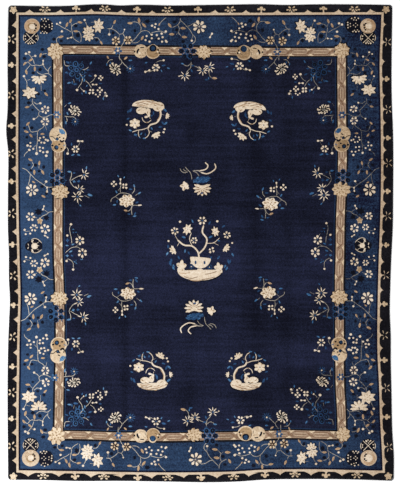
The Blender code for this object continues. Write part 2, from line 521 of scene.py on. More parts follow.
# The cut edge: how far in each ring lies, and its share of the pile's height.
PILE_EDGE = ((0.0, 0.0), (0.0, 0.72), (0.0012, 0.92), (0.0034, 1.0))
# Where each zone ends, from outside in: a line, squares beyond it, and the zone's yarn. The
# tan band has a line on each side, and squares beyond them are counted away from the band.
ZONES = (
    ("guard", 0.0, "black_wool"),
    ("guard", GUARD_HALF + 1.7, "navy_line_wool"),
    ("tan out", 1.9, "blue_border_wool"),
    ("tan out", 0.0, "black_wool"),
    ("tan in", 0.0, "tan_band_wool"),
    ("tan in", 1.5, "black_wool"),
    ("tan in", 2.4, "thin_blue_wool"),
)


def pile_top(x, y):
    """Height of the shorn pile: the thickness plus slow swells of a third of a millimetre."""
    swell = np.sin(5.1 * x + 1.3) * np.sin(4.3 * y) + 0.5 * np.sin(9.7 * x - 6.1 * y)
    return THICKNESS + PILE_SWELL * swell / 1.5


def on_pile(points, share=1.0, lift=0.0):
    """Flat points raised to share * the pile's height + lift."""
    return np.column_stack([points, share * pile_top(points[:, 0], points[:, 1]) + lift])


def zone_ring(line, squares):
    """The ring that ends a zone, squares inside the guard stripe's middle or beyond the band."""
    if line == "guard":
        return ring("guard", squares * SQUARE)
    sign = -1 if line == "tan out" else 1
    return ring("tan", {side: sign * (TAN_HALF[side] + squares) * SQUARE for side in SIDES})


def coons_patch(ring_points):
    """The grid inside a ring: P(u, v) = (1 - v) near(u) + v far(u) + (1 - u) left(v)
    + u right(v), less the bilinear blend of the four corners."""
    closed = np.vstack([ring_points, ring_points[:1]])
    starts = np.cumsum([0] + [len(SHARES[side]) - 1 for side in SIDES])
    right, far, left, near = (closed[starts[i] : starts[i + 1] + 1] for i in range(4))
    far, left = far[::-1], left[::-1]
    u = SHARES["far"][:, None, None]
    v = SHARES["left"][None, :, None]
    sides = (1 - v) * near[:, None] + v * far[:, None] + (1 - u) * left[None] + u * right[None]
    corners = (1 - u) * (1 - v) * near[0] + u * (1 - v) * near[-1]
    corners = corners + (1 - u) * v * far[0] + u * v * far[-1]
    return sides - corners


def make_ground(wools):
    """The cut edge with the underside's fan, then a strip for each zone, then the field, whose
    quads are turned round because its rows run the other way."""
    ground = Mesh()
    rings = [on_pile(ring("edge", OVERCAST_WIDTH + PIECE_GAP + inset, rounded=True), share)
             for inset, share in PILE_EDGE]
    around = len(rings[0])
    underside = fan(0, around, len(rings) * around, turned=True)
    ground.add(np.vstack(rings + [[[0.0, 0.0, 0.0]]]), [rows_of_quads(len(rings), around), underside])
    outer = rings[-1]
    for line, squares, wool in ZONES:
        inner = on_pile(zone_ring(line, squares))
        ground.add(np.vstack([outer, inner]), [rows_of_quads(2, around)], wools.index(wool))
        outer = inner
    field = coons_patch(outer[:, :2])
    quads = np.roll(rows_of_quads(*field.shape[:2], closed=False)[:, ::-1], 1, axis=1)
    ground.add(on_pile(field.reshape(-1, 2)), [quads], len(wools) - 1)
    return ground


ground_wools = [*dict.fromkeys(wool for _, _, wool in ZONES), "navy_field_wool"]
rug_ground = as_object("rug_ground", make_ground(ground_wools), [FINISHES[wool] for wool in ground_wools])

# %% [markdown]
# ## The cream guard stripe
# A narrow cream stripe parts the outer band from the blue border. Its inner side is plain. Its
# outer side bears pointed peaks, and between them short stems that carry small flowers and
# lappets. The stripe itself is a closed ring of its own yarn, sheared a little proud.

# %% The guard stripe
GUARD_HEIGHT = 0.0006
PILE_ROOT = 0.0012
# Its section: shares of GUARD_HALF inwards from the middle line, and heights.
GUARD_SECTION = (
    (-1.0, -PILE_ROOT),
    (-0.9, GUARD_HEIGHT * 0.7),
    (-0.4, GUARD_HEIGHT),
    (0.4, GUARD_HEIGHT),
    (0.9, GUARD_HEIGHT * 0.7),
    (1.0, -PILE_ROOT),
)
rings = [on_pile(ring("guard", share * GUARD_HALF * SQUARE), lift=height)
         for share, height in GUARD_SECTION]
stripe = Mesh()
stripe.add(np.vstack(rings + rings[:1]), [rows_of_quads(len(rings) + 1, len(rings[0]))])
wool_pile("guard_wool", "6d543c b59f86 d8c9b4", (-0.05, -0.01), knots=0.22, dyeing=0.5,
          lots="13 .06, 30 0, 120 0, 180 -.1, 240 0, 450 -.02, 471 .14")
guard_stripe = as_object("guard_stripe", stripe, [FINISHES["guard_wool"]])

# %% [markdown]
# ## Outlines of the tufts
# Every flower comes down to two things. A tuft is a small closed patch of one yarn, sheared to
# its own height with softly bevelled sides. A stem is a line of knots a row or two wide. A tuft
# needs an outline, and a few formulas give them all: ovals drawn out into petals and leaves,
# circles notched into flowers, half flowers, mounds and peaks. Each is about one square wide.

# %% Outlines of the tufts
def petal_rim(count, tip=0.0, base=0.0, tilt=0.0):
    """A petal one long and one wide that points along x: x = -cos(a) / 2 and y = sin(a) / 2
    * (1 - tilt cos(a)) * |cos(a / 2)| ** tip * |sin(a / 2)| ** base."""
    a = np.arange(count) * 2 * math.pi / count
    y = np.sin(a) / 2 * (1 - tilt * np.cos(a))
    y = y * np.abs(np.cos(a / 2)) ** tip * np.abs(np.sin(a / 2)) ** base
    return np.column_stack([-np.cos(a) / 2, y])


def flower_rim(petals, point, notch, steps=8):
    """A flower one wide: r = (1 - point |v|^0.8 - notch v^4) / 2, where v runs from -1 in one
    notch through 0 on the petal to 1 in the next. point sharpens the tips, notch parts them."""
    place = np.arange(petals * steps) / steps
    v = np.abs(2 * (place % 1) - 1)
    r = (1 - point * v**0.8 - notch * v**4) / 2
    a = 2 * math.pi * place / petals
    return np.column_stack([-r * np.cos(a), r * np.sin(a)])


def fan_rim(petals, spread=230.0, point=0.30, notch=0.10, back=0.30, steps=7):
    """A flower seen from the side, one wide, pointing along x: the petals of flower_rim spread
    over fewer degrees, and closed behind by a shallow back at its own share of the radius."""
    place = np.arange(petals * steps + 1) / steps
    v = np.abs(2 * (place % 1) - 1)
    v[[0, -1]] = 0.6
    r = (1 - point * v**0.8 - notch * v**4) / 2
    a = np.radians(spread) * (place / petals - 0.5)
    behind = np.radians(np.array([spread / 2 + 18, 180, 342 - spread / 2]))
    r = np.concatenate([r, [back / 2, back / 2 * 0.8, back / 2]])[::-1]
    a = np.concatenate([a, behind])[::-1]
    return np.column_stack([r * np.cos(a), r * np.sin(a)])


def bank_rim(count, back=0.06):
    """A mound whose bulge points along x: a half oval in front and a low swell behind."""
    a = np.arange(count) * 2 * math.pi / count + math.pi / 2
    x = np.cos(a)
    return np.column_stack([np.where(x > 0, x, x * back) - 0.45, np.sin(a) / 2])[::-1]


def peak_rim(count, bend):
    """A pointed peak one long, one wide at its foot: half width = 0.5 (1 - u)^bend at u."""
    u = np.linspace(0, 1, count)
    half = 0.5 * (1 - u) ** bend
    foot = np.linspace(-0.5, 0.5, 5)[1:-1]
    return np.vstack([np.column_stack([u - 0.5, half]), np.column_stack([u - 0.5, -half])[-2::-1],
                      np.column_stack([np.full(3, -0.5), foot])])


RIMS = {
    "round": petal_rim(14),
    "disc": petal_rim(36),
    "petal": petal_rim(16, base=0.7, tilt=0.25),
    "leaf": petal_rim(16, tip=0.7, base=0.4),
    "drop": petal_rim(14, base=1.0, tilt=0.15),
    "star": flower_rim(7, 0.40, 0.0),
    "maple": flower_rim(5, 0.30, 0.14),
    "spiky": flower_rim(7, 0.50, 0.0),
    "jagged": flower_rim(7, 0.42, 0.02),
    "cusped": flower_rim(8, 0.24, 0.05),
    "squared": flower_rim(7, 0.17, 0.12),
    "ragged": flower_rim(9, 0.19, 0.06),
    "blocky": flower_rim(6, 0.22, 0.14),
    "curly": flower_rim(9, 0.28, 0.14),
    "tulip": fan_rim(4, spread=300.0, point=0.46, notch=0.04, back=0.7),
    "fan": fan_rim(7),
    "halfstar": fan_rim(5, spread=210.0, point=0.36, notch=0.04, back=0.36),
    "lotus": fan_rim(9, spread=268.0, point=0.34, back=0.42),
    "bank": bank_rim(32),
    "peak": peak_rim(9, 1.2),
    "flare": peak_rim(9, 2.1),
    "swell": peak_rim(13, 1.6),
    "triangle": peak_rim(5, 1.0),
}
print(len(RIMS), "outlines, up to", max(len(rim) for rim in RIMS.values()), "corners round")

# %% [markdown]
# ## Tufts
# Thousands of small patches build fastest when all those of one outline are worked out together
# as arrays, so tufts are only noted down at first. A knotter's hand is never quite even: each
# tuft is shifted, sized and turned by small random amounts, drawn from a fixed seed.

# %% Tufts
MILLIMETRE = 0.001
# The rings of a tuft, from its foot: their shares of the rim and of the tuft's height.
TUFT_RINGS = ((1.0, None), (0.93, 0.75), (0.62, 1.0))
TUFT_CROWN = 0.25
HAND_SHIFT = 0.16
HAND_SIZE = 0.05
HAND_TURN = 3
tufts = {}


def add_tuft(yarn, shape, across, down, long, wide, turn=0.0, level=0.9):
    """A patch of yarn whose middle is at (across, down), long and wide in squares, turned
    clockwise by degrees from across, and sheared level millimetres above the pile."""
    tufts.setdefault((yarn, shape), []).append((across, down, long, wide, turn, level))


def tuft_corners(shape, rows, seed):
    """Corners of many tufts of one shape, as an array (tuft, corner, 3): three rings drawn in
    from the rim, and a middle corner above and one below."""
    rows = np.array(rows, float)
    by_hand = np.random.default_rng(seed).normal(size=(len(rows), 4))
    shift = by_hand[:, :2] * HAND_SHIFT
    size = rows[:, 2:4] * (1 + by_hand[:, 2:3] * HAND_SIZE)
    turn = np.radians(rows[:, 4] + by_hand[:, 3] * HAND_TURN)[:, None]
    flat = RIMS[shape][None] * size[:, None, :]
    x = (flat[..., 0] * np.cos(turn) - flat[..., 1] * np.sin(turn)) * SQUARE
    y = -(flat[..., 0] * np.sin(turn) + flat[..., 1] * np.cos(turn)) * SQUARE
    middle_x, middle_y = on_rug(rows[:, 0] + shift[:, 0], rows[:, 1] + shift[:, 1])
    level = rows[:, 5] * MILLIMETRE
    parts = []
    for share, height in TUFT_RINGS:
        ring_x, ring_y = middle_x[:, None] + x * share, middle_y[:, None] + y * share
        lift = -PILE_ROOT if height is None else height * level[:, None]
        parts.append(np.stack([ring_x, ring_y, pile_top(ring_x, ring_y) + lift], axis=-1))
    top = pile_top(middle_x, middle_y)
    for height in (top + level + TUFT_CROWN * MILLIMETRE, top - PILE_ROOT):
        parts.append(np.stack([middle_x, middle_y, height], axis=-1)[:, None])
    return np.concatenate(parts, axis=1)


print("A round tuft has", len(TUFT_RINGS) * len(RIMS["round"]) + 2, "corners")

# %% [markdown]
# ## Stems
# A stem is one narrow strip of knots. It is charted by a few points, and the same cubic curve
# that drew the rug's lines carries its section along them, narrowed at both ends.

# %% Stems
STEM_STEP = 1.1
STEM_END = 0.55
# The section of a stem: shares of its width across, and of its height.
STEM_SECTION = ((-0.5, None), (-0.4, 0.7), (0.0, 1.0), (0.4, 0.7), (0.5, None))
stems = {}


def add_stem(yarn, points, width=1.0, level=0.5, smooth=True):
    """A line of knots through chart places, width squares wide and level millimetres high."""
    stems.setdefault(yarn, []).append((np.array(points, float), width, level, smooth))


def running_length(points):
    """The length from a path's first point to each of its points: the sum of the steps."""
    return np.concatenate([[0], np.cumsum(np.linalg.norm(np.diff(points, axis=0), axis=1))])


def directions(points):
    """Unit steps along a path of points."""
    chord = np.gradient(points, axis=0)
    return chord / np.linalg.norm(chord, axis=1, keepdims=True)


def stem_path(points, smooth):
    """A stem's points, with a curve through them (the same cubic as the chart's lines, along
    the running length) sampled about every square."""
    if not smooth or len(points) < 3:
        return points
    run = running_length(points)
    at = np.linspace(0, run[-1], max(3, round(run[-1] / STEM_STEP)))
    return np.column_stack([smooth_curve(run, points[:, i], at) for i in (0, 1)])


def stem_corners(points, width, level):
    """A section of five corners carried along a stem, narrowed at both its ends."""
    chord = directions(points)
    normal = np.column_stack([-chord[:, 1], chord[:, 0]])
    taper = np.ones(len(points))
    taper[[0, -1]] = STEM_END
    across = np.array([share for share, _ in STEM_SECTION]) * width
    flat = points[:, None] + normal[:, None] * (across[None] * taper[:, None])[..., None]
    x, y = on_rug(flat[..., 0], flat[..., 1])
    lift = [-PILE_ROOT if share is None else share * level * MILLIMETRE for _, share in STEM_SECTION]
    return np.stack([x, y, pile_top(x, y) + np.array(lift)], axis=-1)


print("A straight stem has", 2 * len(STEM_SECTION), "corners")

# %% [markdown]
# ## All that is knotted in one yarn
# A knotter works one colour at a time across the row. Here too, all tufts and stems of one yarn
# become one mesh. Tufts of one outline all have the same faces, so these are written once and
# then repeated with a step, as a weaver repeats a motif.

# %% A mesh for a yarn
HAND_SEED = 100


def knotted(yarn):
    """All the tufts and stems of one yarn, as a mesh. Each outline of each yarn has its seed."""
    mesh = Mesh()
    rings = len(TUFT_RINGS)
    for number, ((wool, shape), rows) in enumerate(sorted(tufts.items())):
        if wool != yarn:
            continue
        corners = tuft_corners(shape, rows, HAND_SEED + number)
        around = len(RIMS[shape])
        above = fan((rings - 1) * around, around, rings * around)
        below = fan(0, around, rings * around + 1, turned=True)
        step = (np.arange(len(rows)) * corners.shape[1])[:, None, None]
        mesh.add(corners, [(faces[None] + step).reshape(-1, faces.shape[1])
                           for faces in (rows_of_quads(rings, around), above, below)])
    for points, width, level, smooth in stems.get(yarn, ()):
        corners = stem_corners(stem_path(points, smooth), width, level)
        across = len(STEM_SECTION)
        last = across * len(corners) - 1
        ends = np.array([np.arange(across), last - np.arange(across)])
        mesh.add(corners, [rows_of_quads(len(corners), across)[:, ::-1], ends])
    return mesh


print("Nothing is noted down yet:", len(knotted("ivory").faces), "groups of faces")

# %% [markdown]
# ## Kinds of flower
# Rather than draw every flower, each kind is a short list of layers. A layer is a ring of equal
# tufts round the flower's middle, all pointing outwards: six ivory petals, then one dark eye.
# A chart then only has to say which kind stands where and which way it points. The kinds are
# written as the knotter would note them: yarn, outline and sizes, with a semicolon between
# layers, and the next layer always sheared over the last.

# %% The kinds
Layer = namedtuple("Layer", "yarn shape count out long wide level start spread",
                   defaults=(0.9, 0.0, 360.0))


def layer(yarn, shape, *sizes):
    """A written layer. One tuft is long, wide and its level in millimetres. A ring of tufts is
    a count, squares out, long, wide, its level, and the degrees where it starts and spreads."""
    sizes = [float(size) for size in sizes]
    return Layer(yarn, shape, *(sizes if len(sizes) > 3 else (1, 0.0, *sizes)))


# A low first layer of near-black wool, a little larger than the flower, is painted shade round it.
KINDS = {}
for row in """
bud: ivory round 2.5 2.3
berry: ivory round 2.3 2.1
twobud: ivory drop 2 1.5 2.7 2.3 .9 90; stem round 1 1 .5
ochre: tan leaf 5.4 3.5 .7; ochre leaf 3.8 2 1.1
dark: shadow spiky 5.4 4.5 .3; shadow round 3.2 2.8 .4
cluster: shadow spiky 10 8.6 .3; shadow maple 6.6 6 .4
blackdisc: shadow disc 3.9 3.9 .3
light: light_blue leaf 4 2.5 .7
blue: blue leaf 4.6 3 .6
blossom: ivory petal 6 2.85 2.9 2.7; blue round 1.7 1.7 .7; brown round 3 1.1 .8 .8 1
rosette: shadow disc 7.8 7.4 .12; cream petal 6 2.95 2.8 2.7; brown petal 6 1.5 1.6 .9 .8;
 cream round 1.2 1.2 1
six: ivory petal 6 2.7 3 2.5; blue round 1.5 1.5 .7
cross: ivory petal 4 2.3 3 3
big: shadow petal 7 4.1 5.2 4 .12; ivory petal 7 4.1 4.7 3.2; stem round 1.8 1.8 .7;
 brown round 4 1.6 .8 .8 1
star: shadow star 19 15.2 .12; ivory star 17.6 13.8; amber drop 6 2.8 2.2 .8 1.3 26;
 amber round 1.2 1 1.3
twin: shadow jagged 18 14 .12; ivory jagged 16.4 12.6; amber drop 6 3 2.4 .9 1.3 20;
 blue round 1.3 1.1 1.3
sidebloom: shadow halfstar 15.4 14.4 .12; ivory halfstar 14.2 13.2; amber drop 4 2.6 2.4 .9 1.3 -75 150;
 blue round 1.2 1.1 1.3
wings: shadow fan 17.4 19.8 .12; ivory fan 16.2 18.6; amber drop 6 4.2 2.6 .9 1.3 -85 170;
 shadow drop 1 -1.6 4.4 1.7 1.2; blue drop 2.2 1.4 1.4
lotus: shadow lotus 19.4 22.4 .12; ivory lotus 18 21.2; brown leaf 8 4.8 4.2 1.4 1.35 -105 210;
 amber drop 4 2 2.2 1.2 1.35 -75 150
tulip: shadow tulip 12.6 12.2 .12; ivory tulip 11.4 11; amber leaf 2 2.4 3.4 1.6 1.35 -40 80
pad: blue ragged 20 7.2 .5; shadow leaf 2 4.2 3.2 .9 .8
curl: shadow curly 15 11.4 .12; ivory petal 3 2.9 4 1.25 .9 50 80; ivory petal 3 2.9 4 1.25 .9 230 80;
 ivory petal 2 4.5 4.8 1.35 .9 -17 34; ivory petal 2 4.5 4.8 1.35 .9 163 34;
 ivory round 3 4.6 1.6 1.4 .8 62 80; ivory round 3 4.6 1.6 1.4 .8 242 80;
 ivory round 2 6.3 1.7 1.5 .8 -7 34; ivory round 2 6.3 1.7 1.5 .8 173 34; stem round 4 2;
 shadow round 3 2.4 1.9 1.5 1.3 40 280
daisy: blue leaf 11 3.3 4.2 1.2 .7; ivory round 1.8 1.8 1.1
ray: ivory leaf 7 3.4 4.4 1.4 .9 -135 270; blue round 1.8 1.8 1
ringed: blue squared 6 5.8 7.6 7 .5; shadow round 6 6 5.2 4.6; dark_blue drop 6 6.3 1.9 1.1 1.2;
 blue squared 6.4 6 1; shadow round 3.9 3.7 1.2; dark_blue round 1.3 1.3 1.4;
 dark_blue leaf 5 9.2 2.6 1.6 .5 33
fieldring: blue round 6 5.5 5.9 5.4 .5; shadow round 6 5.5 4.4 3.9; dark_blue round 6 5.5 1.8 1.5 1.2;
 blue round 4.2 4 1; shadow round 2.8 2.6 1.2; dark_blue leaf 5 9 2.6 1.6 .5 33
spot: blue round 6 2.6 3 2.3 .6; light_blue drop 6 3 1.5 1 1; ivory round 2.3 2.2 1.1
peony: shadow ragged 22.6 19 .12; cream ragged 21.6 18; amber drop 8 6.6 3.4 2.3 1.3;
 amber drop 5 3.2 2.8 2 1.3 22; brown round 8 5 1.5 .8 1.45 22; brown round 1.7 1.5 1.4
cusped: shadow cusped 21 20.2 .12; cream cusped 20 19.2; amber drop 8 6.1 3.4 2.4 1.3;
 amber drop 5 2.8 2.5 1.9 1.3 22; brown round 8 4.5 1.5 .8 1.45 22; brown round 1.7 1.6 1.4
spray: shadow squared 18.2 14.6 .12; ivory squared 17 13.4; amber drop 7 4.8 3 2 1.3;
 amber drop 4 2.1 2.2 1.5 1.3 22; brown round 7 3.5 1.3 .7 1.45 24; brown round 1.4 1.3 1.4
pearl: guard_wool disc 17.4 16.8; tan disc 14.8 14.2 1; guard_wool disc 13.2 12.6 1.1;
 amber disc 10 9.4 1.2; ivory disc 8.8 8.2 1.3
moon: cream disc 14.6 14.4 1
block: shadow blocky 13.8 12.2 .12; ivory blocky 12.6 11; amber drop 6 3.3 2.6 1 1.3;
 blue round 1.6 1.4 1.3
coin: cream disc 15 14.2 .8; ochre disc 13.4 12.6 1.1
eye: cream disc 9 8.6 1.3; shadow disc 8.2 7.8 1.5; dark_blue disc 6.4 6 1.7;
 shadow drop 3 1.5 2 .7 1.9 90
dot: ivory round 1.2 1.1 1.5
fleck: amber leaf 3.4 1.5 1.5
mark: shadow round 1.8 1.4 1.8
ivoryleaf: ivory leaf 5 2.4 1
fanflower: shadow halfstar 11.4 12 .12; ivory halfstar 10.2 10.8; amber drop 3 2 1.8 .8 1.3 -50 100
open: cream petal 3.4 1.9 .7
dull: guard_wool petal 3.8 .95 .5
lappet: cream petal 3 1.3 3.4 3.2 .7 -110 220; cream leaf 6.4 4 .8; ochre round 1.4 1.3 1
broadlappet: cream petal 2 2.5 3.6 2.8 .7 -97 194; cream petal 5.6 4.4 .8; ochre round 1.4 1.3 1
pip: blue round 3.6 2 1.6
patch: light_blue round 6.6 4.8 1.5
corner: cream maple 8.6 8.6 .7; ochre drop 5 2.2 1.5 .8 1
bank: shadow bank 8.4 34.4 .1; ivory bank 7.4 33 .6
fig: cream maple 7.6 6.8 .7; ochre maple 6.2 5.4 1.1
rock: ivory maple 12 9.4; ochre drop 3 2.6 2.2 1 1.3 40
body: shadow round 12.4 8.8 .65; ivory round 11 7.4 1
chest: ivory round 6.6 5.4 1.1
neck: ivory round 5.6 3.2 1.1
head: ivory drop 5 2.8 1.3
bowl: ivory bank 8.4 16.6 1; ivory round 2.6 16.4 1.1; blue round 2 3.4 1.8 3 1.4 90
foot: ivory round 7.6 2.8 1
""".strip().replace("\n ", " ").splitlines():
    kind, layers = row.split(":")
    KINDS[kind] = [layer(*words.split()) for words in layers.split(";")]
# A stem's kind: its yarn, its width in squares and its level in millimetres.
STEM_KINDS = {}
for row in """
stem stem .62 .5, twig ivory .8 .8, pale ivory .7 1.5, black shadow 2.3 1.8, line shadow .9 1.8,
brown brown .8 1.4, amber amber 1.4 1.4, tanline tan .8 1.4, azure light_blue 1.7 1.5,
curlstroke ivory 1.35 .7, trunk ivory 1.8 .8
""".split(","):
    kind, yarn, width, level = row.split()
    STEM_KINDS[kind] = (yarn, float(width), float(level))
print(len(KINDS), "kinds of flower, bud and leaf, and", len(STEM_KINDS), "of stem")

# %% [markdown]
# ## Reading a chart
# A knotter charts one quarter and turns the sheet over for the others. So a run of the chart
# starts with a row that says how it repeats, four ways, across, turned about or only once, and
# where its first point goes each time. The rows below it say a kind and its places.

# %% Knotting from a chart
WAYS = {
    "once": ((1, 1),),
    "across": ((1, 1), (-1, 1)),
    "turned": ((1, 1), (-1, -1)),
    "four": ((1, 1), (-1, 1), (1, -1), (-1, -1)),
}
# The weaver at the far right worked the small motifs smaller.
SMALL_RIGHT_OF = 342
SMALL_ABOVE = 325
RIGHT_HAND = {"bud": 0.8, "berry": 0.8, "twobud": 0.85, "ochre": 0.84, "six": 0.86, "blossom": 0.88,
              "cross": 0.86, "dark": 0.9}


def knot_flower(kind, across, down, turn=0.0, size=1.0):
    """One flower of a kind: the tuft i of a layer stands at out * (cos t, sin t) from the
    flower's middle, where t = turn + start + i * step, and the steps share out the spread."""
    for yarn, shape, count, out, long, wide, level, start, spread in KINDS[kind]:
        steps = count if spread == 360.0 else count - 1
        for i in range(int(count)):
            angle = turn + start + i * spread / max(steps, 1)
            step = out * size
            add_tuft(yarn, shape, across + step * math.cos(math.radians(angle)),
                     down + step * math.sin(math.radians(angle)), long * size, wide * size, angle, level)


def knot_row(kind, row, start, place, flip):
    """One row of a chart: squares across and down, a turn and a size, or for a stem the squares
    of each of its points. A point p goes to (p - start) * flip + place."""
    if kind in STEM_KINDS:
        yarn, width, level = STEM_KINDS[kind]
        add_stem(yarn, (np.reshape(row, (-1, 2)) - start) * flip + place, width, level)
        return
    across, down = (np.array(row[:2]) - start) * flip + place
    turn = math.radians(row[2] if len(row) > 2 else 0.0)
    size = row[3] if len(row) > 3 else 1.0
    if across > SMALL_RIGHT_OF and down < SMALL_ABOVE:
        size = size * RIGHT_HAND.get(kind, 1.0)
    turn = math.atan2(math.sin(turn) * flip[1], math.cos(turn) * flip[0])
    knot_flower(kind, across, down, math.degrees(turn), size)


def knot_chart(chart):
    """Knots a written chart, each run at all its places in turn."""
    runs = []
    for line in chart.strip().splitlines():
        kind, rows = line.split(" ", 1)
        if kind in WAYS:
            runs.append((kind, numbers(rows), []))
        else:
            runs[-1][2].extend((kind, row) for row in numbers(rows))
    for way, places, rows in runs:
        for place, flip in zip(places, np.array(WAYS[way])):
            for kind, row in rows:
                knot_row(kind, row, places[0], place, flip)
    print("Runs of the chart:", len(runs), "rows:", sum(len(rows) for _, _, rows in runs))


print("A run can repeat", ", ".join(WAYS))

# %% [markdown]
# ## The yarns of the flowers
# Ivory for petals, ochre for buds and the drops inside a peony, three blues, a grey-brown stem
# and a brown line. The near-black wool is real black in marks, dark leaves and roundels. Knotted
# as a thin rim round most flowers it is painted shade, standing in for the shade where the pile
# is carved down beside them, and reads as a thin dark outline.

# %% Flower yarns
wool_pile("ivory", "a08a70 ccbba5 e8dfd2", (-0.07, -0.03), knots=0.3)
wool_pile("cream", "846c51 bca588 e0d0b8", PALER_TOWARDS_NEAR_LEFT, knots=0.3)
wool_pile("tan", "7d6149 a98b6d c4a98a", (-0.1, -0.05), knots=0.35)
wool_pile("amber", "6b523a 8b7050 a88b68", (-0.08, -0.05), knots=0.35)
wool_pile("ochre", "65513c 967b5c bb9d78", PALER_TOWARDS_NEAR_LEFT, knots=0.35)
wool_pile("light_blue", "1d3856 365c82 6a90b0", (-0.22, -0.06), knots=0.4)
wool_pile("blue", "132640 233e5f 3d618b", (-0.22, -0.06), knots=0.4)
wool_pile("dark_blue", "0e1a2c 1c324c 38587c", (-0.24, -0.06), knots=0.45)
# Near-black wool: real black in marks, dark leaves and roundels, and painted shade round the flowers.
wool_pile("shadow", "07080e 0d0e18 171826", PALER_TOWARDS_NEAR_LEFT)
wool_pile("stem", "3c3c3e 9a9183 cdc5b4", (-0.26, -0.05), knots=0.4)
wool_pile("brown", "5c4433 7a5e48 947961", PALER_TOWARDS_NEAR_LEFT, knots=0.4)
wool_pile("cream_line", "a08a6e c8b396 e4d6bf", (-0.1, -0.03), knots=0.35)
print(len(FINISHES), "yarns dyed")

# %% [markdown]
# ## The tan band
# The tan band carries a brown trellis: long six-sided cells of doubled line that meet at
# crossings, with a pale wedge on each side of a crossing. Each cell is drawn in squares along
# the band and outwards from its middle line, so that it follows the wandering band.

# %% The trellis
CROSSINGS = {
    "left": (68, 85.4, 101, 123, 160.6, 211, 228.6, 245.9, 262, 278, 329.7, 368.4, 385.7, 403.6, 420.9),
    "right": (66, 84.6, 102.5, 122.5, 161.5, 213.2, 229.6, 246.5, 260.8, 278.4, 332, 365.4, 384.5)
    + (401.8, 421.5),
    "far": (73.5, 94.2, 116, 173.5, 226, 268.9, 289.5, 309.5, 331),
    "near": (68.9, 89.5, 110.4, 131.4, 164, 184.1, 234.8, 269.6, 290.2, 310.3, 331.3),
}
TRELLIS_REACH = {"left": (44, 444), "right": (44, 444), "far": (56, 342), "near": (57, 343)}
SHORTEST_CELL = 10
# Half a cell's outline, squares along from its end and outwards. The other half mirrors it.
CELL_ALONG = np.array([3.6, 1.8, 1.0, 2.6])
CELL_OUT = np.array([2.6, 0.3, -1.2, -2.5])
CELL_LINE_OUT = 1.35
CROSSING_ALONG = np.array([2.3, 1.0, -0.9, -2.3])
CROSSING_OUT = np.array([2.5, 1.3, -0.6, -1.9])
WEDGE_LONG, WEDGE_WIDE, WEDGE_IN, WEDGE_SHIFT = 3.0, 6.6, 1.6, 1.5
# Degrees clockwise from across that point into the rug.
INWARD_TURN = {"left": 0, "right": 180, "far": 90, "near": -90}


def beside(line, side, along, out):
    """Chart places at squares along one side's line and squares outwards from it."""
    along, out = np.broadcast_arrays(np.asarray(along, float), np.asarray(out, float))
    middle = smooth_curve(*np.transpose(LINES[line][side]), along)
    if side in LONG_SIDES:
        return np.column_stack([middle + OUTWARD[side][0] * out, along])
    return np.column_stack([along, middle - OUTWARD[side][1] * out])


def knot_trellis(side):
    """Cells between the crossings, then the crossings. way flips the drawing at the rug's
    middle, as the knotter did, and between the long sides and the ends."""
    middle_of_rug = CHART_MIDDLE[1] if side in LONG_SIDES else CHART_MIDDLE[0]
    first_way = 1 if side in LONG_SIDES else -1

    def line(yarn, along, out, *finish):
        """A stem laid beside the band's middle line."""
        add_stem(yarn, beside("tan", side, along, out), *finish)

    ends = (TRELLIS_REACH[side][0], *CROSSINGS[side], TRELLIS_REACH[side][1])
    for a, b in zip(ends[:-1], ends[1:]):
        if b - a < SHORTEST_CELL:
            continue
        way = first_way if (a + b) / 2 < middle_of_rug else -first_way
        along = np.concatenate([a + CELL_ALONG, b - CELL_ALONG, a + CELL_ALONG[:1]])
        out = np.concatenate([CELL_OUT, -CELL_OUT, CELL_OUT[:1]]) * way
        line("brown", along, out, 1.0, 0.4, False)
        line("brown", [a + 4.6, b - 4.6], 0, 1.1, 0.4, False)
        for out in (-CELL_LINE_OUT, CELL_LINE_OUT):
            line("cream_line", [a + 4.4, b - 4.4], out, 0.8, 0.3, False)
    for place in CROSSINGS[side]:
        way = first_way if place < middle_of_rug else -first_way
        line("brown", place + CROSSING_ALONG, CROSSING_OUT * way, 1.4, 0.45)
        for edge in (1, -1):
            out = edge * way * (TAN_HALF[side] - WEDGE_IN)
            middle = beside("tan", side, [place - edge * WEDGE_SHIFT], [out])[0]
            turn = INWARD_TURN[side] + (0 if edge * way > 0 else 180)
            add_tuft("cream_line", "triangle", *middle, WEDGE_LONG, WEDGE_WIDE, turn, 0.3)


for side in SIDES:
    knot_trellis(side)
print("Trellis crossings:", sum(len(CROSSINGS[side]) for side in SIDES))

# %% [markdown]
# ## Flowers on the tan band
# Full peonies stand on the band's corners and middles, each beside a flower of six blue rings,
# with small blue rosettes between. Pairs of overlapping roundels, one ochre and one pale, come
# four times on the sides and four times on the ends.

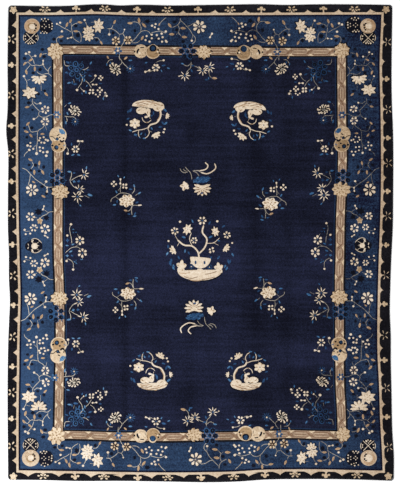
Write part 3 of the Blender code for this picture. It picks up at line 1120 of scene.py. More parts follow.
# %% Peonies, ringed flowers and roundels on the tan band
knot_chart("""
once 0 0
cusped 55.5 51 -95 .96, 342 50.4 -85 .92, 56.4 435.6 95, 343.2 434.4 85 .86
peony 60.3 191.8 0 .96, 341.5 189.5 180 .92, 59.3 298.5 0 .94, 339.3 297 180 .9, 203.8 52.3 0 .88
peony 194.4 434.8 180 .82
ringed 57.2 177.8 -90 .98, 343 177.4 -90 .98, 56.1 314 90 .98, 340.8 311.7 90 .98, 187.3 51.2 180 .98
ringed 209.5 435.8 0 .98
spot 56.8 114.7, 342 115, 118 51, 277.5 51.7, 54.6 377.7, 340.8 377, 118.5 435.3, 279 433.9
four 58 133.5, 342.4 132.6, 58.5 356.8, 339.3 356.2
coin 58.4 145.6 0 1.03
moon 57.8 134.8 0 1.1
patch 62 131.7 48
azure 59.4 128.6 59.8 132.6, 64.8 131.6 64.6 134.6, 63.2 145.8 65.6 144.8
eye 57.3 138.9 90 .46, 56.5 147.4 90 .64
mark 59.4 137.6, 63.4 138.4, 52.6 145.7 10 1.5, 59.4 144.3 0 1.2, 61.5 148.3 0 1.2, 65.4 149.8
ochre 53.2 141.4 60 .8
black 57.2 135.7 59.4 134.4
line 49.9 136.6 52.6 136.8 56 139.8
black 60 139.9 61.2 141.6 62.8 141.6 63.8 140
line 52 147.6 54 150
four 140.8 51, 256.1 51.7, 140.8 436, 257.8 434.2
coin 153 51.7 0 1.06
moon 140.6 51.1 0 1.04
eye 152.9 48.4 90 .96
black 137.2 53.6 137.5 51.2 139.2 48.8, 140.3 47.7 144 47.4
dot 139.5 52.6 0 2.4, 157.6 51.6 0 1.6
mark 134.5 51.4 90 1.2, 158.3 49.9 60 1.2, 159.2 52.8 -40 1.2
brown 138.8 45.6 143.4 45.3, 143 50.4 145.6 49.6, 139.4 55.4 143.8 55.4, 140 57.3 144.2 57.2
line 147.4 49.2 146.8 51.8, 145.5 51.8 145.1 54.6, 154.6 54.2 157.2 52.6
stem 140.8 50.6 141.4 54
amber 149.8 55.2 154 56.6 158 54.8
""")

# %% [markdown]
# ## The blue border
# Sprays of buds, blossoms and jagged lotus flowers run round the blue border. They are charted
# once, for the far left quarter, and each run is then placed four times, flipped across and
# down, with its start moved to where the knotter began it in that quarter. In each corner
# three roundels overlap, one of cream wool and two of black.

# %% Corner roundels
knot_chart("""
four 32.2 26.5, 367.9 26.1, 30.9 457.7, 368.5 457.9
pearl 32.1 26.3
mark 34.6 24 0 1.2, 36.2 25.4 90 1.4, 36 28.4 90 1.3, 34.7 30.2 0 1.2
tanline 28.2 22.6 30.6 21.2 33.6 21.2, 26.6 27.4 27 30 28.8 32.2, 31 33.4 34 33.2 36.4 31.6
tanline 30.2 25.2 31.6 24 33.2 25.2 33.4 27.2 31.8 28.4 30.4 27.6
four 45 26.1, 354.8 24.9, 44.8 458.4, 354.8 458.2
blackdisc 46 26.2 0 4.35
dot 44.2 24.6, 44.2 28.1, 42.4 26.3, 46 26.3, 49.1 25, 49.3 27.4, 43.4 21.2, 46.1 21.2, 42.4 31.4
dot 45.4 31.4, 41.6 19.6 0 1.2, 44.9 18.6 0 1.3, 48.2 19.6 0 1.2, 51.8 23.6 90 1.3, 51.9 26.2 90 1.3
dot 51.7 29 90 1.3, 41 32.8 0 1.3, 44 33.2 0 1.3, 46.8 32.9 0 1.3
four 30.6 38.3, 368.2 38.3, 30.4 444.6, 368.2 445.4
blackdisc 30.8 37.4 0 4.3
pale 26 33 30.4 37.8 35.9 43, 35.5 33 31 37.6 24.8 43, 24.2 34.6 23.4 36.8 23.4 38.6 24.2 40.8
pale 37.4 34.6 38.2 36.8 38.2 38.6 37.4 40.8
dot 30.5 37.4 0 1.2, 30.6 40.8, 25.4 36.2 0 1.2, 25.6 39.2 0 1.2, 36.2 36.2 0 1.2, 36.2 39 0 1.2
dot 28.4 43.2 40 1.5, 32.8 43 -40 1.5, 30.6 43.6 90 1.2, 29.4 42, 31.8 42, 29 31.4 90 1.1
dot 32.4 31.4 90 1.1
mark 30.5 37.2 0 .7
""")

# %% [markdown]
# ## Along the two ends
# From the corner inwards come two small leaves, a twin flower between its buds, a pair of
# rosettes, a spray of berries, and at the middle one big blossom with ochre leaves.

# %% Runs along the two ends
knot_chart("""
four 55.5 51, 342 50.4, 56.4 435.6, 343.2 434.4
stem 57 43 56.4 40 57 38 59 36.6, 47 53.5 44 53.8 42 54.6
ochre 60.8 36.8 -8, 40.5 55.4 110
dark 53.9 39.2, 61.4 40.9 0 .9, 42.4 49.6, 44.3 56.6
four 93 30, 306 30.6, 91.8 455.8, 307.4 453.6
stem 57.4 24 62 27 64.6 28.4 68 30 71 32, 64.6 28.4 67 25.4
stem 78 22.8 74.4 24 71.6 26.6 71.8 30 72.6 34 73.2 37.6 76 40.4 79.6 42.4, 70.8 22 71.6 26.6
stem 76.4 31.4 79 31.6 80.6 34 81.2 38 80.8 42, 85 21.4 86.6 24.4 86.8 27, 91 22.4 96 21.8
stem 94 37.6 98 38 100.2 41
bud 57 24, 60.3 22.7, 61.9 31.2, 84.5 20
ochre 67.2 24.9 -70, 70.8 20.6 -70, 80.4 22.6 10, 75.6 31.2 180, 101 42.6 60 .8
twobud 69.4 38 80
dark 75.9 26, 77.8 35.2 90 1.3, 96.4 40 90
sidebloom 88.4 31.8 -100, 88.6 35.4 80
twin 98.4 25.8 -80
four 122 40.6, 276.3 41, 120.7 446.3, 278.2 444
ochre 114.6 22.2 -60
stem 113 25 111.6 28 109.6 29.2, 109.2 28.6 109.4 33, 107.4 28.8 111 28.6 116.6 31.6 119.4 34.4
stem 119.4 34.4 119 38, 119.4 34.4 122.8 33.4 124.6 29.6
stem 122.8 33.4 124.6 37 124.4 41 122 45 120.2 50 119.4 56 119.6 60, 124.4 39 128 38.4
bud 109.4 34.4
dot 124.6 29.2 0 1.4
rosette 115.9 40.8 20 1.02, 128 40.2 0 1.02
dark 113 33 90
four 155 34, 242.6 33.4, 154.7 454.8, 246 453
stem 131 42.6 136 37.6 140 32.6 142.4 31 147 30.8 150 33 151 35.6, 151 33 156 31.6 160 31 166 33.4
stem 140.6 32 141 27 139 23.4 134 21.8 130.6 22.6, 139.6 25 143 21.6, 132 42.8 137 42.6 140 40.6
stem 159 24.4 162.4 20.6 166 17.6
ochre 129.8 23 175, 138.8 20.2 -100, 144.2 25.4 50, 142.6 38 -60, 159.2 24.2 -60 .5
berry 146.8 36.1, 151.4 34.7, 151.9 38.4, 149.5 41.5, 146 39.9, 156.8 34.9, 161.4 33.8, 158.5 38.5
berry 162.7 37.3, 165.6 40.6, 161.8 41.5
bud 166.6 41.6, 166 31.6
berry 152.1 25.4, 155.9 24.2, 154.9 27.2, 158.4 28.9
dark 147.4 21.4 0 1.2
mark 148.9 38 0 .8
dark 135 31 90
turned 182.6 28.7, 216.8 457.8
stem 180.4 18 180 21.6 177.4 25 172.6 27.4, 178 25 179.4 29 178.6 33 181.4 36, 178.4 32.6 176 34.6
stem 180.8 20.4 186 25.6 190 30 192.6 34.6 195.4 38 194.8 41.6 192 44, 192.8 35 192 39
stem 186 26.4 190 25.6 193 23.6 198 22.6 203 26
ochre 169.6 25.4 60 1.05, 171.6 34.2 180 1.1, 184.4 36.8 10 1.1, 183 28.6 10 1.1
dark 174.4 22, 176.6 30, 183 41.6
bud 192 40.4
once 0 0
big 199.4 26.8 150 1.05, 195.6 459.4 -30 1.05
twobud 210.9 35.4 30 1.1, 190 449.4 30 1.1
""")

# %% [markdown]
# ## Along the two long sides
# The long sides hold the same plants in another order, from the corner: a winged flower, a
# star, two blossoms on a branch, berries, a big blossom, and six-petal flowers round a
# roundel at the middle.

# %% Runs along the two long sides
knot_chart("""
four 38.9 79.1, 359.3 79.1, 38.3 406.4, 359.3 406.1
stem 26.4 53.6 29 54.4 31 57 32.6 59 34.4 64, 31 57 34.4 56.2
stem 24.8 64.4 28 62 30 64 32 65.6 36 65 40 65.6 43 64.4, 43 64.4 45 68 48.4 71.6
stem 36.8 71.6 39.4 73.8 41.6 74.4 48.4 73.6 51.6 76.4, 48.6 73 48.4 69.6 50.8 66.4
stem 26 70 29 66.6 30.6 64.6, 24.4 77.6 26.4 81 26.6 91, 27 80.4 30.4 79.4, 41 82 41.2 90.6
bud 26.1 53.8, 28.8 52.2, 35.2 56.2, 24.2 76.4
ochre 30.6 59.8 -30 .9, 24.6 63.8 130 .9, 35 68.6 -90, 26.1 72.2 70, 46 94.3 45 .9
twobud 43.2 62.2
dark 24.6 58.6, 33.4 72.9, 40.2 69.6 -40, 38.6 94.4 0 .8, 44.6 91 0 .8
wings 39.2 77.6 90
four 29.7 93.1, 368.9 89.9, 28.7 396.8, 367.6 397.2
star 29.9 93.1 -4
four 45.2 115.5, 353.8 114.8, 45.6 376.5, 353.4 376
stem 32.6 98.6 32.4 103 35 106.6 39.4 111, 29.6 106.6 32.4 103.6, 33.4 101.6 36.6 104 40 103.4
stem 39.4 111 42.4 112, 39.4 111 38.6 114.6 41.6 117 46 117 50 115 56.4 114.7
stem 38.6 115.4 36.4 118 34.4 118.6, 45 124.6 42.6 127.6 38 131 37.4 135 37.4 142 36.6 148 37 152
stem 45 124.6 46.6 130, 37.8 131 31 131.6 29 127 28 124.6, 36.8 144.6 33.6 147.4
dark 28.7 102.9, 32.4 110 0 .7, 31.6 128, 24.4 127.6 0 .8, 27 137.4 0 .8
ochre 27.2 107.3 170, 28.2 124 -50 .9, 25.8 131.4 200 .9, 31.2 135.8 50 .9, 42.6 134 0 .9
bud 40.5 103.4, 33.8 119.2
blossom 45.3 109.6 20, 45 121.4
four 43 144.5, 356 144, 43 346.2, 353.6 345.6
berry 40.3 137.9, 43.5 137, 45.4 139.8, 47.9 140.6 0 1.1, 44.4 142.7, 41.4 142.3, 39.2 140.3, 30.5 142.8
berry 27.6 145.8 0 1.1, 30.7 146.1, 33.5 148.7, 29.3 150.1 0 1.2, 39.9 147.4, 43 147.7, 40.1 150.8
berry 43.4 152.2, 47.2 151.9 0 1.2
bud 46.1 155.6 0 1.2, 36.6 153.6 90 1.2
stem 28.4 151 25 154 24 156.6
four 31.8 189.6, 369.6 189.4, 30.6 299.3, 367.4 298.4
ochre 30.3 159.6 210, 39.4 162.8 -80, 42.7 172.4 60, 34.4 172.4 90, 33.5 182.4 30 .75, 43.7 196.4 30 .9
stem 32 161.6 33.4 165 31 169, 39.4 165 38.6 168.4, 40 168.6 42 170.6
stem 22 168 26 169.6 30 173.6 36 179.6 42 183.6 47 187 53 187, 30.4 174 29.4 181 28 185.6, 44 185 46 182
dark 29.4 165 0 .9, 35.6 165.4 0 .9, 43.6 167 90, 31 170.6 0 .8, 39 171.4 0 .8, 42 186.4, 51 188.4 0 .8
dark 46.4 193.6 0 .8
big 31.8 190
bud 46.2 181.6 0 1.1
twobud 47.2 189.6 0 1.1
four 34.4 245.6, 365 244.9, 34.4 245.6, 365 244.9
six 30.6 216.6 0 1.12, 33.8 227.8 0 .92, 45 228.9 20 1.2
stem 33.6 216.8 37 218, 44 209.6 48 212.4, 53.6 211.6 49.6 212 46 214.6 42 216.4 40.6 218
stem 25 231.6 30 231, 40.6 224 42.4 227
twobud 43.6 207.6 20 1.05, 46.2 236.4 120
fig 39.7 221.2 -90
cluster 38.6 211.8 0 1.05, 46.4 217.6 40 .8
bud 24.6 229.8 0 .95, 25.6 234.2 0 .9, 30.2 233.4 0 .9
across 34.4 245.6, 362.5 244.9
blackdisc 35 245.7 0 4.1, 29.8 246 0 2.5
bud 34.6 246.2 0 2.9
line 41.4 246 37 246.2, 40.6 243.2 36.8 244.8, 40.6 249 36.8 247.8
ivoryleaf 37.8 246 0 .6, 32.4 241 -50 .8, 32.4 250.6 50 .8, 28.4 244.5 70 .55, 28.4 247.9 -70 .55
pale 31.2 239.8 34.6 238.4 38.6 239.8 41.8 243, 31.2 251.6 35 252.9 38.8 251.8 41.6 249.4
twig 31.4 240 33 243 33.2 246 32.8 249 31.4 251.6
pale 36 243.8 39.6 241.4, 36 248.4 39.6 250.4
""")

# %% [markdown]
# ## The field
# The field is a dark navy ground with small sprays along its edges: a ringed flower in each
# corner, curled leaves, six-petal flowers, and daisies opened like rays.

# %% Sprays round the field
knot_chart("""
four 74.6 70.8, 321.2 69.4, 74.7 416.6, 322.8 414.2
fieldring 76.6 69.9 200 1.08
blue 67.6 62.2 200 .9, 90.2 75.6 20 .9, 72 82.4 100 .8, 79.4 80.4 80 .8, 66.4 72.6 160 .8, 88.4 70 0 .8
blue 75.6 84, 82.1 93.6 70 .7, 100.4 83.6 0 .7
light 82.8 77.6 60 .9, 90.9 63 -60, 69 82.8 170, 86 92.2 80 .9, 86.9 85.8 -50 .7, 84.4 76 -60 .7
light 84.6 80.6 100 .95, 103.2 98.8 90 .8
stem 64 60 65.4 65.4 70 66, 81.4 70 85.6 69.2 88.6 67, 73.4 79 74.2 82.4
stem 79.6 73.4 82 76.6 81.4 83 79 86.4 78 88.4, 80.4 87.4 81.4 89.2 83.4 90.6
stem 85.4 80.6 88.6 83.4 91.4 88, 95.4 77 93 80.6 90 82.6, 104 96.8 104.6 95 107 93.4
bud 77.2 89.8 0 1.1, 83.8 91.1 0 .75, 95.4 75.6 0 1.1, 96 94.6 0 .7, 98 96.4 0 .7, 105.4 92.4 0 .75
bud 100.2 94.9 0 .7, 106.6 95.4 0 .95
cross 100.8 78 0 .72, 91.4 91.4 45 .85, 99.8 90.2 0 .8
twobud 94.4 84.6 90
four 114.7 68.9, 281.6 68.9, 114.7 417.6, 282.6 417
curl 115 68.9 45 .98
stem 119 66 122 62.4 119.6 58 118.6 56.6, 122 62 126 66 128.4 68.4, 113 59.6 109.6 60 107 63.4
daisy 130.4 68.8 20 .95
ochre 108 57.4 60 .7, 125.4 58 140 .8
light 130.6 60.4, 106.6 64.6 90 .7
blue 110.4 62.6 90 .7
four 75.6 110.2, 323 109, 74.6 382.8, 321.6 381.8
curl 74.9 110.5 25 .94
stem 64.6 116.2 69.5 116.8 74.3 117.2 76.6 120, 66.2 117 67.2 120.4 65.6 123.2, 64.4 107 66.4 104.6
daisy 75.2 121.6 0 .85
light 65.6 122.6 80, 69.4 103 170, 67.6 113.6 60 .9
four 155.8 67.6, 239.5 66, 156.1 421.5, 240.5 420.2
six 155.8 67.6
stem 148.6 72 151.6 71 153 70, 156 62.6 159 61 163.4 60.6
twobud 147.4 71.2 70 1.15
light 146 62.4 160 .8, 168.4 68.4 20 .8, 161.4 71 60 .7
blue 163.6 65.4 -10
bud 163.6 60.4 0 .9
four 75.6 149.1, 324.5 148.6, 75.9 344, 321.4 342.6
six 75.6 149.2 0 .92
twobud 80.2 141.1 95 1.15
stem 80.2 141.6 78.4 145.6, 66.6 147 68.4 150.6 67.9 152
bud 67.7 153.4 0 1.05
blue 71.6 144 -90 .8
light 73 154.6 -20 .9, 78.6 155 20 .9
turned 202.6 70.2, 195 417.6
ray 184.8 75.6 90, 209.6 67 60 1.05, 202.6 70.4 90
stem 191 61.6 191.4 63.6 198 67.6 201.4 70, 191 63 190.4 68 188 70.4 185.6 74.6
stem 190.6 63.6 187.4 66 183.4 64.4, 209.4 70 209.2 74.6 211.4 78
light 182.4 63.6 190, 208.6 78 90 .7
blue 193 65.8 0 .9, 191.6 70.6 60 .9, 206.6 80 0 .9
ochre 214.4 78.4 10
bud 178.8 76.4 0 .6
four 79.4 189.9, 322 188.5, 78.6 301.5, 319.4 299.6
ray 83.9 174.3 30 1.05, 79.4 189.6 -10, 77.5 196.6 90 1.1
stem 71 180.4 76 177.4 80.4 175.4, 71.6 172 71.4 176 70 180.4 72 184.6 75 187.6 78.4 189
stem 77.6 199 78.6 204, 84.6 195.4 89 197.6
light 69.4 171.8 190 1.2, 74.2 181.4 20 .9, 74.2 181.4 110 .75, 80 205.4 45 .7, 86.4 167.6 -80 .9
light 90 195 20 1.3
blue 74.6 173.2 0 .75, 78.9 181.6 0 .8, 78.9 181.6 90 .7
across 80 246.7, 317.6 245.9
six 79.9 240.6 -90 1.1, 82.4 252.9 -90 1.12
bud 71.2 224.2, 67.5 235.6, 66.6 261.2, 73.1 269.6
stem 70.4 225.6 69.7 227.4 70.4 234 71.4 238.6 71.8 243.4
stem 65.3 252.9 68.4 250 71.4 247.8 74.6 247 78.4 247.3 80.6 249.4, 75.2 246.8 77.8 244.8
stem 67.9 258.8 70.9 260.3 73 262.9 73.3 268, 67.9 258.8 66.8 260.4, 77.4 234 78.6 236.4
stem 83 257.4 82.4 258.8
light 73.5 229.2 0 .6, 73.1 232.2 90 .5, 73 244.3 -20 .95, 67 245.6 8 .95, 70.9 251.4 -25 .95
light 67.3 255.8 0 .9, 67.3 255.8 90 .8, 74.7 262 40 .6, 76.5 263.2 40 .6, 81.8 259.4 0 .7
blue 76 232.2 0 .5, 67.6 240.4 0 .85, 67.6 240.4 90 .85, 71.8 255.8 30 .7, 76.2 260.6 90 .45
""")

# %% [markdown]
# ## Peony sprays and lotus flowers
# Further in, four peony sprays stand left and right of the middle, and two lotus flowers with
# their pads above and below it.

# %% Peony sprays and lotus flowers
knot_chart("""
four 128.4 293.6, 268.4 293.1, 127 200.4, 270.2 203.8
spray 128.3 293.2 10
ochre 127.1 283.6 160 .8
stem 129 282.6 131.4 284 133.4 288.4, 133.4 279 133 285 134 288.4 139 288.6
stem 112.4 292 112.6 294.4 117 297.6 121.4 300.8 126 301 132 299.4, 117.4 297 120.6 294.4
stem 122 301.4 121.6 304 122.6 310, 133.6 300.4 136 304 135.8 307, 136.8 298.4 140 300.8
stem 119.4 303.4 121.4 306
ivoryleaf 141.3 288.6 10
light 136.4 277.8 10, 115.9 289.1 180, 140.8 300.8 40, 135.5 308.2 110, 117.5 302 -60 .9
light 119.4 318 120 .7, 125.4 316.4 60 .7
blue 136.6 280.6 60 .9, 130.6 280 180 .8, 118.6 292.6 90 .8, 138.4 291.6 30 .8, 132 304.6 0 .8
cross 115.3 310 0 .82, 126.1 307.8 45 .86
twobud 122 312.6 0 1.05
turned 202.6 180, 193.7 316.5
pad 201.7 179.8 -9
azure 193 182.2 197 180.6, 198.4 182 203 178.6, 203.4 181.2 209.6 177.6
light 206.6 181.4 -30 .8, 197.8 177.6 -30 .8
lotus 202.3 188.4 90
pip 201.9 192.9 -8
tulip 185 185.8 145
curlstroke 214.6 163.4 215.8 167.6 212 171.6 207 173.7 200.8 172.4
curlstroke 205 162.4 208 165.6 206.4 168.8 202.4 170.3 199.4 170.7
stem 201.4 172.6 198.6 171 194 170.4, 200 170.6 196.4 170.4 193 170.8, 192.6 170.9 196.8 172.8 199 176
stem 179.9 168.4 181.6 171.4 184.6 172.8 188 171.8, 183.3 168.9 184.8 170.8 187.4 171.2
stem 185.2 166.9 187.4 169.6 190.6 173 191.4 175.6 191.9 179.6
""")

# %% [markdown]
# ## An animal under a tree
# Four round devices show an animal at rest under a tree, a traditional figure: a bank, a body
# of a few tufts with flecks, and a crooked branch that closes the circle over it.

# %% An animal under a tree, four times
knot_chart("""
four 151.7 371.6, 246.7 371.6, 148 119, 250.6 120.6
bank 152.4 386.6 90
head 150.8 373.8 190
amber 149.4 368.4 151.6 367.8
fleck 142.6 380.4 30, 146.4 382.8 10, 151.6 378.4 80, 142 386.6 15, 151 386.2 -5, 158.6 385.4 -15
fleck 161.4 381.8 -40, 166 385 -20, 156 390.2 -5
brown 139 387 144 388 150 386.6, 150 389.4 154 388.4 158 389, 160 386.6 164 385, 143 385.8 147 386.4
tanline 140 384.6 146 385.2 150 384.4, 153.6 386.4 159 387 164 385.4, 145 388.8 149 389.4 154 389
tanline 156 388.2 161 387 165 385.4, 160 382.6 164 382.4, 163.2 380 163.6 375 160.6 369.6
block 138.7 367.2
stem 140.4 361 139 364, 152.4 359.8 155.6 358.6, 164.2 376.4 168 375.6
fanflower 159.6 356.8 -60, 170.2 374.6 -10 .66
blue 134.4 380.6 60 1.2, 131.4 379 80 .8, 166.6 367.4 -60, 139.5 355.7 -60 .9, 163.6 363.6 10 .9
blue 148.8 356.4 90 .8, 131.9 371.9 30 .8, 157 377.4 90, 155.6 375 40 .7
light 169.4 367.2 40 1.1, 168.9 380.6 -40 1.2, 133.8 360.2 -30 .9, 155.6 361.8 -60 .9, 147.6 352 180 .9
light 145 357 60 .8, 139.2 355.8 0 .9, 143.4 353 -60 .6
twig 153 373.4 154 371.8, 145.8 373.4 146.6 370.4 149.4 368.2 152.4 368.6 155 370.8
trunk 163.8 382 164.4 375 161 368.5 152.9 364.7 151.5 362
twig 151.5 362 153 358 151 354 148.6 352.4, 151.6 363 146 361 142.4 360.6 136 358.6
twig 142.6 360.4 142 357 143 353.6
chest 162.2 384 0 1.7
body 145.2 380.4
chest 151.8 379.4 90
neck 152.6 376.4 -75
bud 130.2 365.8 0 .9, 167 358.4 0 .9, 168.2 361.4 0 .9
""")

# %% [markdown]
# ## The roundel in the middle
# The middle holds a round garden of the same parts: a footed bowl on a bank, two rocks, two
# branches out of the bowl, and flowers, leaves and buds that fill the circle.

# %% The garden roundel in the middle
knot_chart("""
once 0 0
bank 200 275.4 90 1.46
rock 181.6 266.6 -80 1.3, 219 268 -100 1.1
foot 200 271.4 0 1.3, 200 269.4 0 .8
bowl 200 262.6 90 1.3
brown 184 276.6 191 278.4 198 276.8, 201 280 208 278.6 215 277, 205 274.4 212 273 217 271.2
tanline 178.6 272.6 184 273.6 190 272.4, 190 280 196 280.8 201 280.4, 217 275.4 221 273
trunk 199.4 259.2 197.6 251.3 192.1 246.1 184 245 177.6 240
trunk 199 253.6 204.9 247.2 206.8 238.9 202.4 232.1 203.6 225.3
twig 206.1 243.4 213.7 242.7 219.7 237.8, 192.1 245.7 189.5 238.9 191.4 232.8, 177.6 240 174.8 234.8
twig 179.9 241.6 177.1 246.1, 213.2 242.7 218.5 245.2
twin 187.9 229.2 -60 .8, 215.1 231.4 -110 .8
fanflower 173.7 249.5 150 .95, 225.4 247.5 30 .95
six 202.2 220.6 0 1.05, 174.8 231 20 .95, 227 235 20 .9
blossom 194.1 240.5 0 .8
cross 211.6 250.2 30 .85
bud 179.9 221.9, 217.1 221.3, 168.4 240.7 0 .9, 232.1 242.9 0 .9
light 183.8 237.5 200 1.1, 210.5 236.6 -30 1.1, 192.5 221.3 -110, 166.8 254 120 1.1, 232.8 254.7 60
light 185.2 251.1 100, 218.5 240.2 30 .9, 174.1 266 60, 225.2 266.5 120, 173.4 268.4 60 1.1
light 226.6 268.6 120 1.1
blue 171.4 260.8 100 1.2, 228.6 261.9 80 1.2, 179.2 257.6 60 1.1, 218.5 257.6 120 1.1, 209.8 223.1 -60
blue 167.9 246.3 -90 .9, 223.6 226 -40 .9, 188.6 253.1 60 .9, 210.9 258.1 120 .9, 170.4 263.4 70 1.2
blue 229.6 262 110 1.2
daisy 191.4 266.6 0 .6, 209.4 267 0 .6
""")

# %% [markdown]
# ## The outer band
# On the near-black band outside the guard stripe, small open flowers and lappets take turns
# between the stripe's points, with a star in each corner. No two sides have the same count, so
# the places are listed for each side, and the shapes follow the hand that knotted it.

# %% Flowers and lappets of the outer band
BAND_PEAKS = {
    "left": (25.5, 54.5, 81.3, 113.5, 139.2, 168.6, 196.8, 231.5, 261.8, 291.4, 319.1, 352.6, 378.9)
    + (405, 432.8, 460.2),
    "right": (24.9, 61.5, 95.6, 122.7, 150, 177.5, 203.5, 231.5, 261.8, 290, 320, 348, 374.5, 404)
    + (433, 461.5),
    "far": (29.5, 60.3, 91.2, 121.4, 152.3, 183.2, 215, 245.9, 277.5, 307.7, 338.6, 370.5),
    "near": (28, 59, 91, 121, 152, 184, 217, 249, 280, 311, 342, 373),
}
BAND_FLOWERS = {
    "left": (39, 95, 153.6, 213.4, 275.7, 337, 392.3, 445.9),
    "right": (42, 109.2, 163, 216, 275, 335, 388, 447),
    "far": (45, 105, 167.5, 230, 291.8, 354.5),
    "near": (43, 104, 168, 233.8, 295, 357),
}
BAND_LAPPETS = {
    "left": (65, 125.8, 181.3, 244.6, 305.1, 366.6, 418.8),
    "right": (79, 137.9, 191.4, 245, 304, 360, 417),
    "far": (76.2, 137, 198, 261.2, 323.3),
    "near": (75, 137.6, 201, 265, 326),
}
# Outlines of the points on the stripe, how far they reach out, and how wide their foot is.
PEAK = {"right": ("flare", 3.6, 10.5), "far": ("swell", 3.2, 10.5), "left": ("peak", 4.4, 8.0),
        "near": ("swell", 4.0, 17.0)}
LINK = {"right": ("flare", 2.8, 8.0), "far": ("peak", 2.2, 2.6), "left": ("peak", 2.4, 2.8),
        "near": ("flare", 2.8, 6.0)}
POINT_ROOT = 0.3
# How far out an open flower stands, and where its petals lie: further out, and sideways.
OPEN_PETALS = {
    "right": (5.9, ((-0.9, 2.7), (-0.9, -2.7), (2.1, 2.0), (2.1, -2.0), (-2.2, 0.1))),
    "left": (6.2, ((-1.9, 3.0), (-1.9, -3.0), (1.5, 1.7), (1.5, -1.7))),
    "far": (4.9, ((-0.9, 4.0), (-0.9, -4.0), (1.3, 1.9), (1.3, -1.9), (-1.4, 1.5), (-1.4, -1.5))),
    "near": (4.6, ((-0.8, 4.0), (-0.8, -4.0), (1.2, 2.0), (1.2, -2.0), (-1.3, 1.5), (-1.3, -1.5))),
}
# How far out a lappet stands, and its size.
LAPPET = {"right": (5.9, 0.95), "left": (6.1, 0.98), "far": (4.9, 0.95), "near": (4.5, 1.0)}
OUTWARD_TURN = {"left": 180, "right": 0, "far": -90, "near": 90}
CORNER_STARS = ((13.4, 10.0), (386.2, 9.6), (388.4, 476.2), (13.4, 476.4))
STARS_POINT_FROM = (200, 243)


def by_guard(side, along, out):
    """One chart place outside the guard stripe's middle line."""
    return beside("guard", side, [along], [out])[0]


def knot_band(side):
    """The points, links, open flowers and lappets of one side. An open flower is a ring of
    petals, each pointing away from the flower's middle and drawn in squares by the guard."""
    turn = OUTWARD_TURN[side]
    linked = BAND_FLOWERS[side] + BAND_LAPPETS[side]
    for places, (shape, reach, foot) in ((BAND_PEAKS[side], PEAK[side]), (linked, LINK[side])):
        for along in places:
            middle = by_guard(side, along, GUARD_HALF + reach / 2 - POINT_ROOT)
            add_tuft("guard_wool", shape, *middle, reach + 2 * POINT_ROOT, foot, turn, 0.6)
    out, petals = OPEN_PETALS[side]
    for along in BAND_FLOWERS[side]:
        middle = by_guard(side, along, out)
        for far_out, sideways in petals:
            across, down = by_guard(side, along + sideways, out + far_out)
            angle = math.degrees(math.atan2(down - middle[1], across - middle[0]))
            knot_flower("dull" if side == "right" else "open", across, down, angle)
    out, size = LAPPET[side]
    for along in BAND_LAPPETS[side]:
        kind = "lappet" if side in LONG_SIDES else "broadlappet"
        knot_flower(kind, *by_guard(side, along, out), turn, size)


for side in SIDES:
    knot_band(side)
for across, down in CORNER_STARS:
    turn = math.atan2(down - STARS_POINT_FROM[1], across - STARS_POINT_FROM[0])
    knot_flower("corner", across, down, math.degrees(turn))
print("Tufts noted down:", sum(len(rows) for rows in tufts.values()))

# %% [markdown]
# ## One piece for each yarn
# Now that everything is noted down, each yarn becomes one object with one finish. Thousands of
# tufts then cost only a few objects, and all petals change colour if their yarn is dyed again.

# %% Pieces by yarn
FLOWER_YARNS = """shadow guard_wool brown cream_line stem dark_blue blue light_blue tan cream ivory
ochre amber""".split()
flower_pieces = [as_object(f"knots_{yarn}", knotted(yarn), [FINISHES[yarn]]) for yarn in FLOWER_YARNS]

# %% [markdown]
# ## The overcast edges
# The long sides and the ends are finished by wrapping dark wool yarn round an edge cord. Each
# of the four edges is that cord: an oval section carried along the rug's outline, swelling and
# sinking at every turn of the yarn, with the turns leaning a little.

# %% Wrapped yarn along the four sides
OVERCAST_HEIGHT = 0.0085
WRAP_PITCH = 0.0045
WRAP_DEPTH = 0.0005
WRAP_STEPS = 3
CORD_SIDES = 10
STRANDS = 900.0
STRAND_HEIGHT = 0.0006
OVERCAST_ROUGHNESS = 0.88
OVERCAST_SHINE = 0.12


def make_overcast(first, last):
    """A cord along the edge ring from one station to another: at the angle a of its section it
    swells by 1 - depth / width * (1 - cos(turn + a)), where turn grows by one round a pitch."""
    path = edge_ring[np.arange(first, last + 1) % len(edge_ring)]
    run = running_length(path)
    steps = round(run[-1] / WRAP_PITCH * WRAP_STEPS)
    at = np.linspace(PIECE_GAP / 2, run[-1] - PIECE_GAP / 2, steps)
    middle = np.column_stack([np.interp(at, run, path[:, i]) for i in (0, 1)])
    chord = directions(middle)
    normal = np.column_stack([chord[:, 1], -chord[:, 0]])
    middle = middle - normal * OVERCAST_WIDTH / 2
    angle = np.arange(CORD_SIDES) * 2 * math.pi / CORD_SIDES
    turn = 2 * math.pi * at[:, None] / WRAP_PITCH + angle[None]
    swell = 1 - WRAP_DEPTH / OVERCAST_WIDTH * (1 - np.cos(turn))
    out = np.cos(angle)[None] * swell * OVERCAST_WIDTH / 2
    up = (1 + np.sin(angle)[None] * swell) * OVERCAST_HEIGHT / 2
    flat = middle[:, None] + normal[:, None] * out[..., None]
    cord = Mesh()
    ends = np.array([np.arange(CORD_SIDES)[::-1], (steps - 1) * CORD_SIDES + np.arange(CORD_SIDES)])
    cord.add(np.concatenate([flat, up[..., None]], axis=2), [rows_of_quads(steps, CORD_SIDES), ends])
    return cord


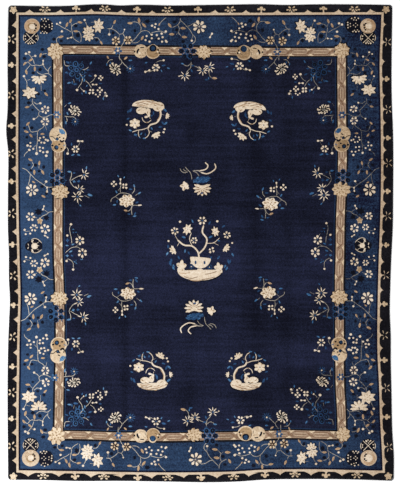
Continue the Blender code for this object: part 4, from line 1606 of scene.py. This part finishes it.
overcast_wool, tree, shader = new_material("overcast_wool")
place = add_node(tree, "TexCoord").node.outputs["Object"]
strand = add_node(tree, "TexNoise", {"Vector": place, "Scale": STRANDS, "Detail": 3.0})
colours = colour_ramp(tree, strand, ((0.0, dye("0e0e13")), (1.0, dye("26252c"))))
tree.links.new(colours, shader.inputs["Base Color"])
bump = add_node(tree, "Bump", {"Height": strand, "Strength": 0.6, "Distance": STRAND_HEIGHT})
tree.links.new(bump, shader.inputs["Normal"])
shader.inputs["Roughness"].default_value = OVERCAST_ROUGHNESS
shader.inputs["Specular IOR Level"].default_value = OVERCAST_SHINE

overcast_pieces = {}
first = 0
for side in SIDES:
    last = first + len(SHARES[side]) - 1
    overcast_pieces[side] = as_object(f"overcasting_{side}", make_overcast(first, last), [overcast_wool])
    first = last

# %% [markdown]
# ## Camera, light and floor
# The rug is shown as a dealer photographs one, spread on a pale floor and seen from straight
# above. The camera stands where its lens takes in the chart's whole height: distance = height
# * lens / sensor. Two broad lamps and a soft white sky light the pile without hard shadows.

# %% Camera, light and floor
LENS = 60.0
SENSOR = 36.0
VIEW_MIDDLE = (200.0, 244.0)
SKY_STRENGTH = 0.75
FLOOR_HALF = 30
FLOOR_SHADE = 0.93
scene = bpy.context.scene
scene.view_settings.view_transform = "Standard"
camera = bpy.data.objects.new("camera", bpy.data.cameras.new("camera"))
scene.collection.objects.link(camera)
camera.data.lens = LENS
camera.data.sensor_width = SENSOR
middle_x, middle_y = on_rug(*VIEW_MIDDLE)
distance = CHART_TALL * SQUARE * LENS / SENSOR
camera.location = (float(middle_x), float(middle_y), THICKNESS + distance)
bpy.context.scene.camera = camera


def area_light(name, place, size, power):
    """A square lamp turned towards the middle of the rug."""
    lamp = bpy.data.objects.new(name, bpy.data.lights.new(name, "AREA"))
    lamp.data.size = size
    lamp.data.energy = power
    lamp.location = place
    lamp.rotation_mode = "QUATERNION"
    lamp.rotation_quaternion = (-Vector(place)).to_track_quat("-Z", "Y")
    scene.collection.objects.link(lamp)


area_light("key", (-3.0, -2.4, 4.2), 3.0, 190)
area_light("fill", (3.4, 2.0, 4.6), 3.5, 90)
scene.world = bpy.data.worlds.new("world")
scene.world.use_nodes = True
sky = scene.world.node_tree.nodes["Background"].inputs
sky[0].default_value = (1, 1, 1, 1)
sky[1].default_value = SKY_STRENGTH
floor = Mesh()
floor.add([(x * FLOOR_HALF, y * FLOOR_HALF, 0) for x, y in ((-1, -1), (1, -1), (1, 1), (-1, 1))],
          [[(0, 1, 2, 3)]])
floor_material, tree, shader = new_material("floor")
shader.inputs["Base Color"].default_value = (FLOOR_SHADE, FLOOR_SHADE, FLOOR_SHADE, 1)
shader.inputs["Roughness"].default_value = 0.9
floor_object = as_object("studio_floor", floor, [floor_material])
print("The camera looks down from", round(distance, 2), "m")

# %% [markdown]
# ## Handing over
# Last, the pieces are fitted to the frame. All of them ride on the one body, the pile takes
# the place of the frame's plain rug, and each wrapped cord that of its own bar, which are hidden.

# %% Handing over
for piece in (rug_ground, guard_stripe, *flower_pieces):
    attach(piece, "root")
    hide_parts("rug")
for side, piece in overcast_pieces.items():
    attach(piece, "root")
    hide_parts(f"overcast_{side}")
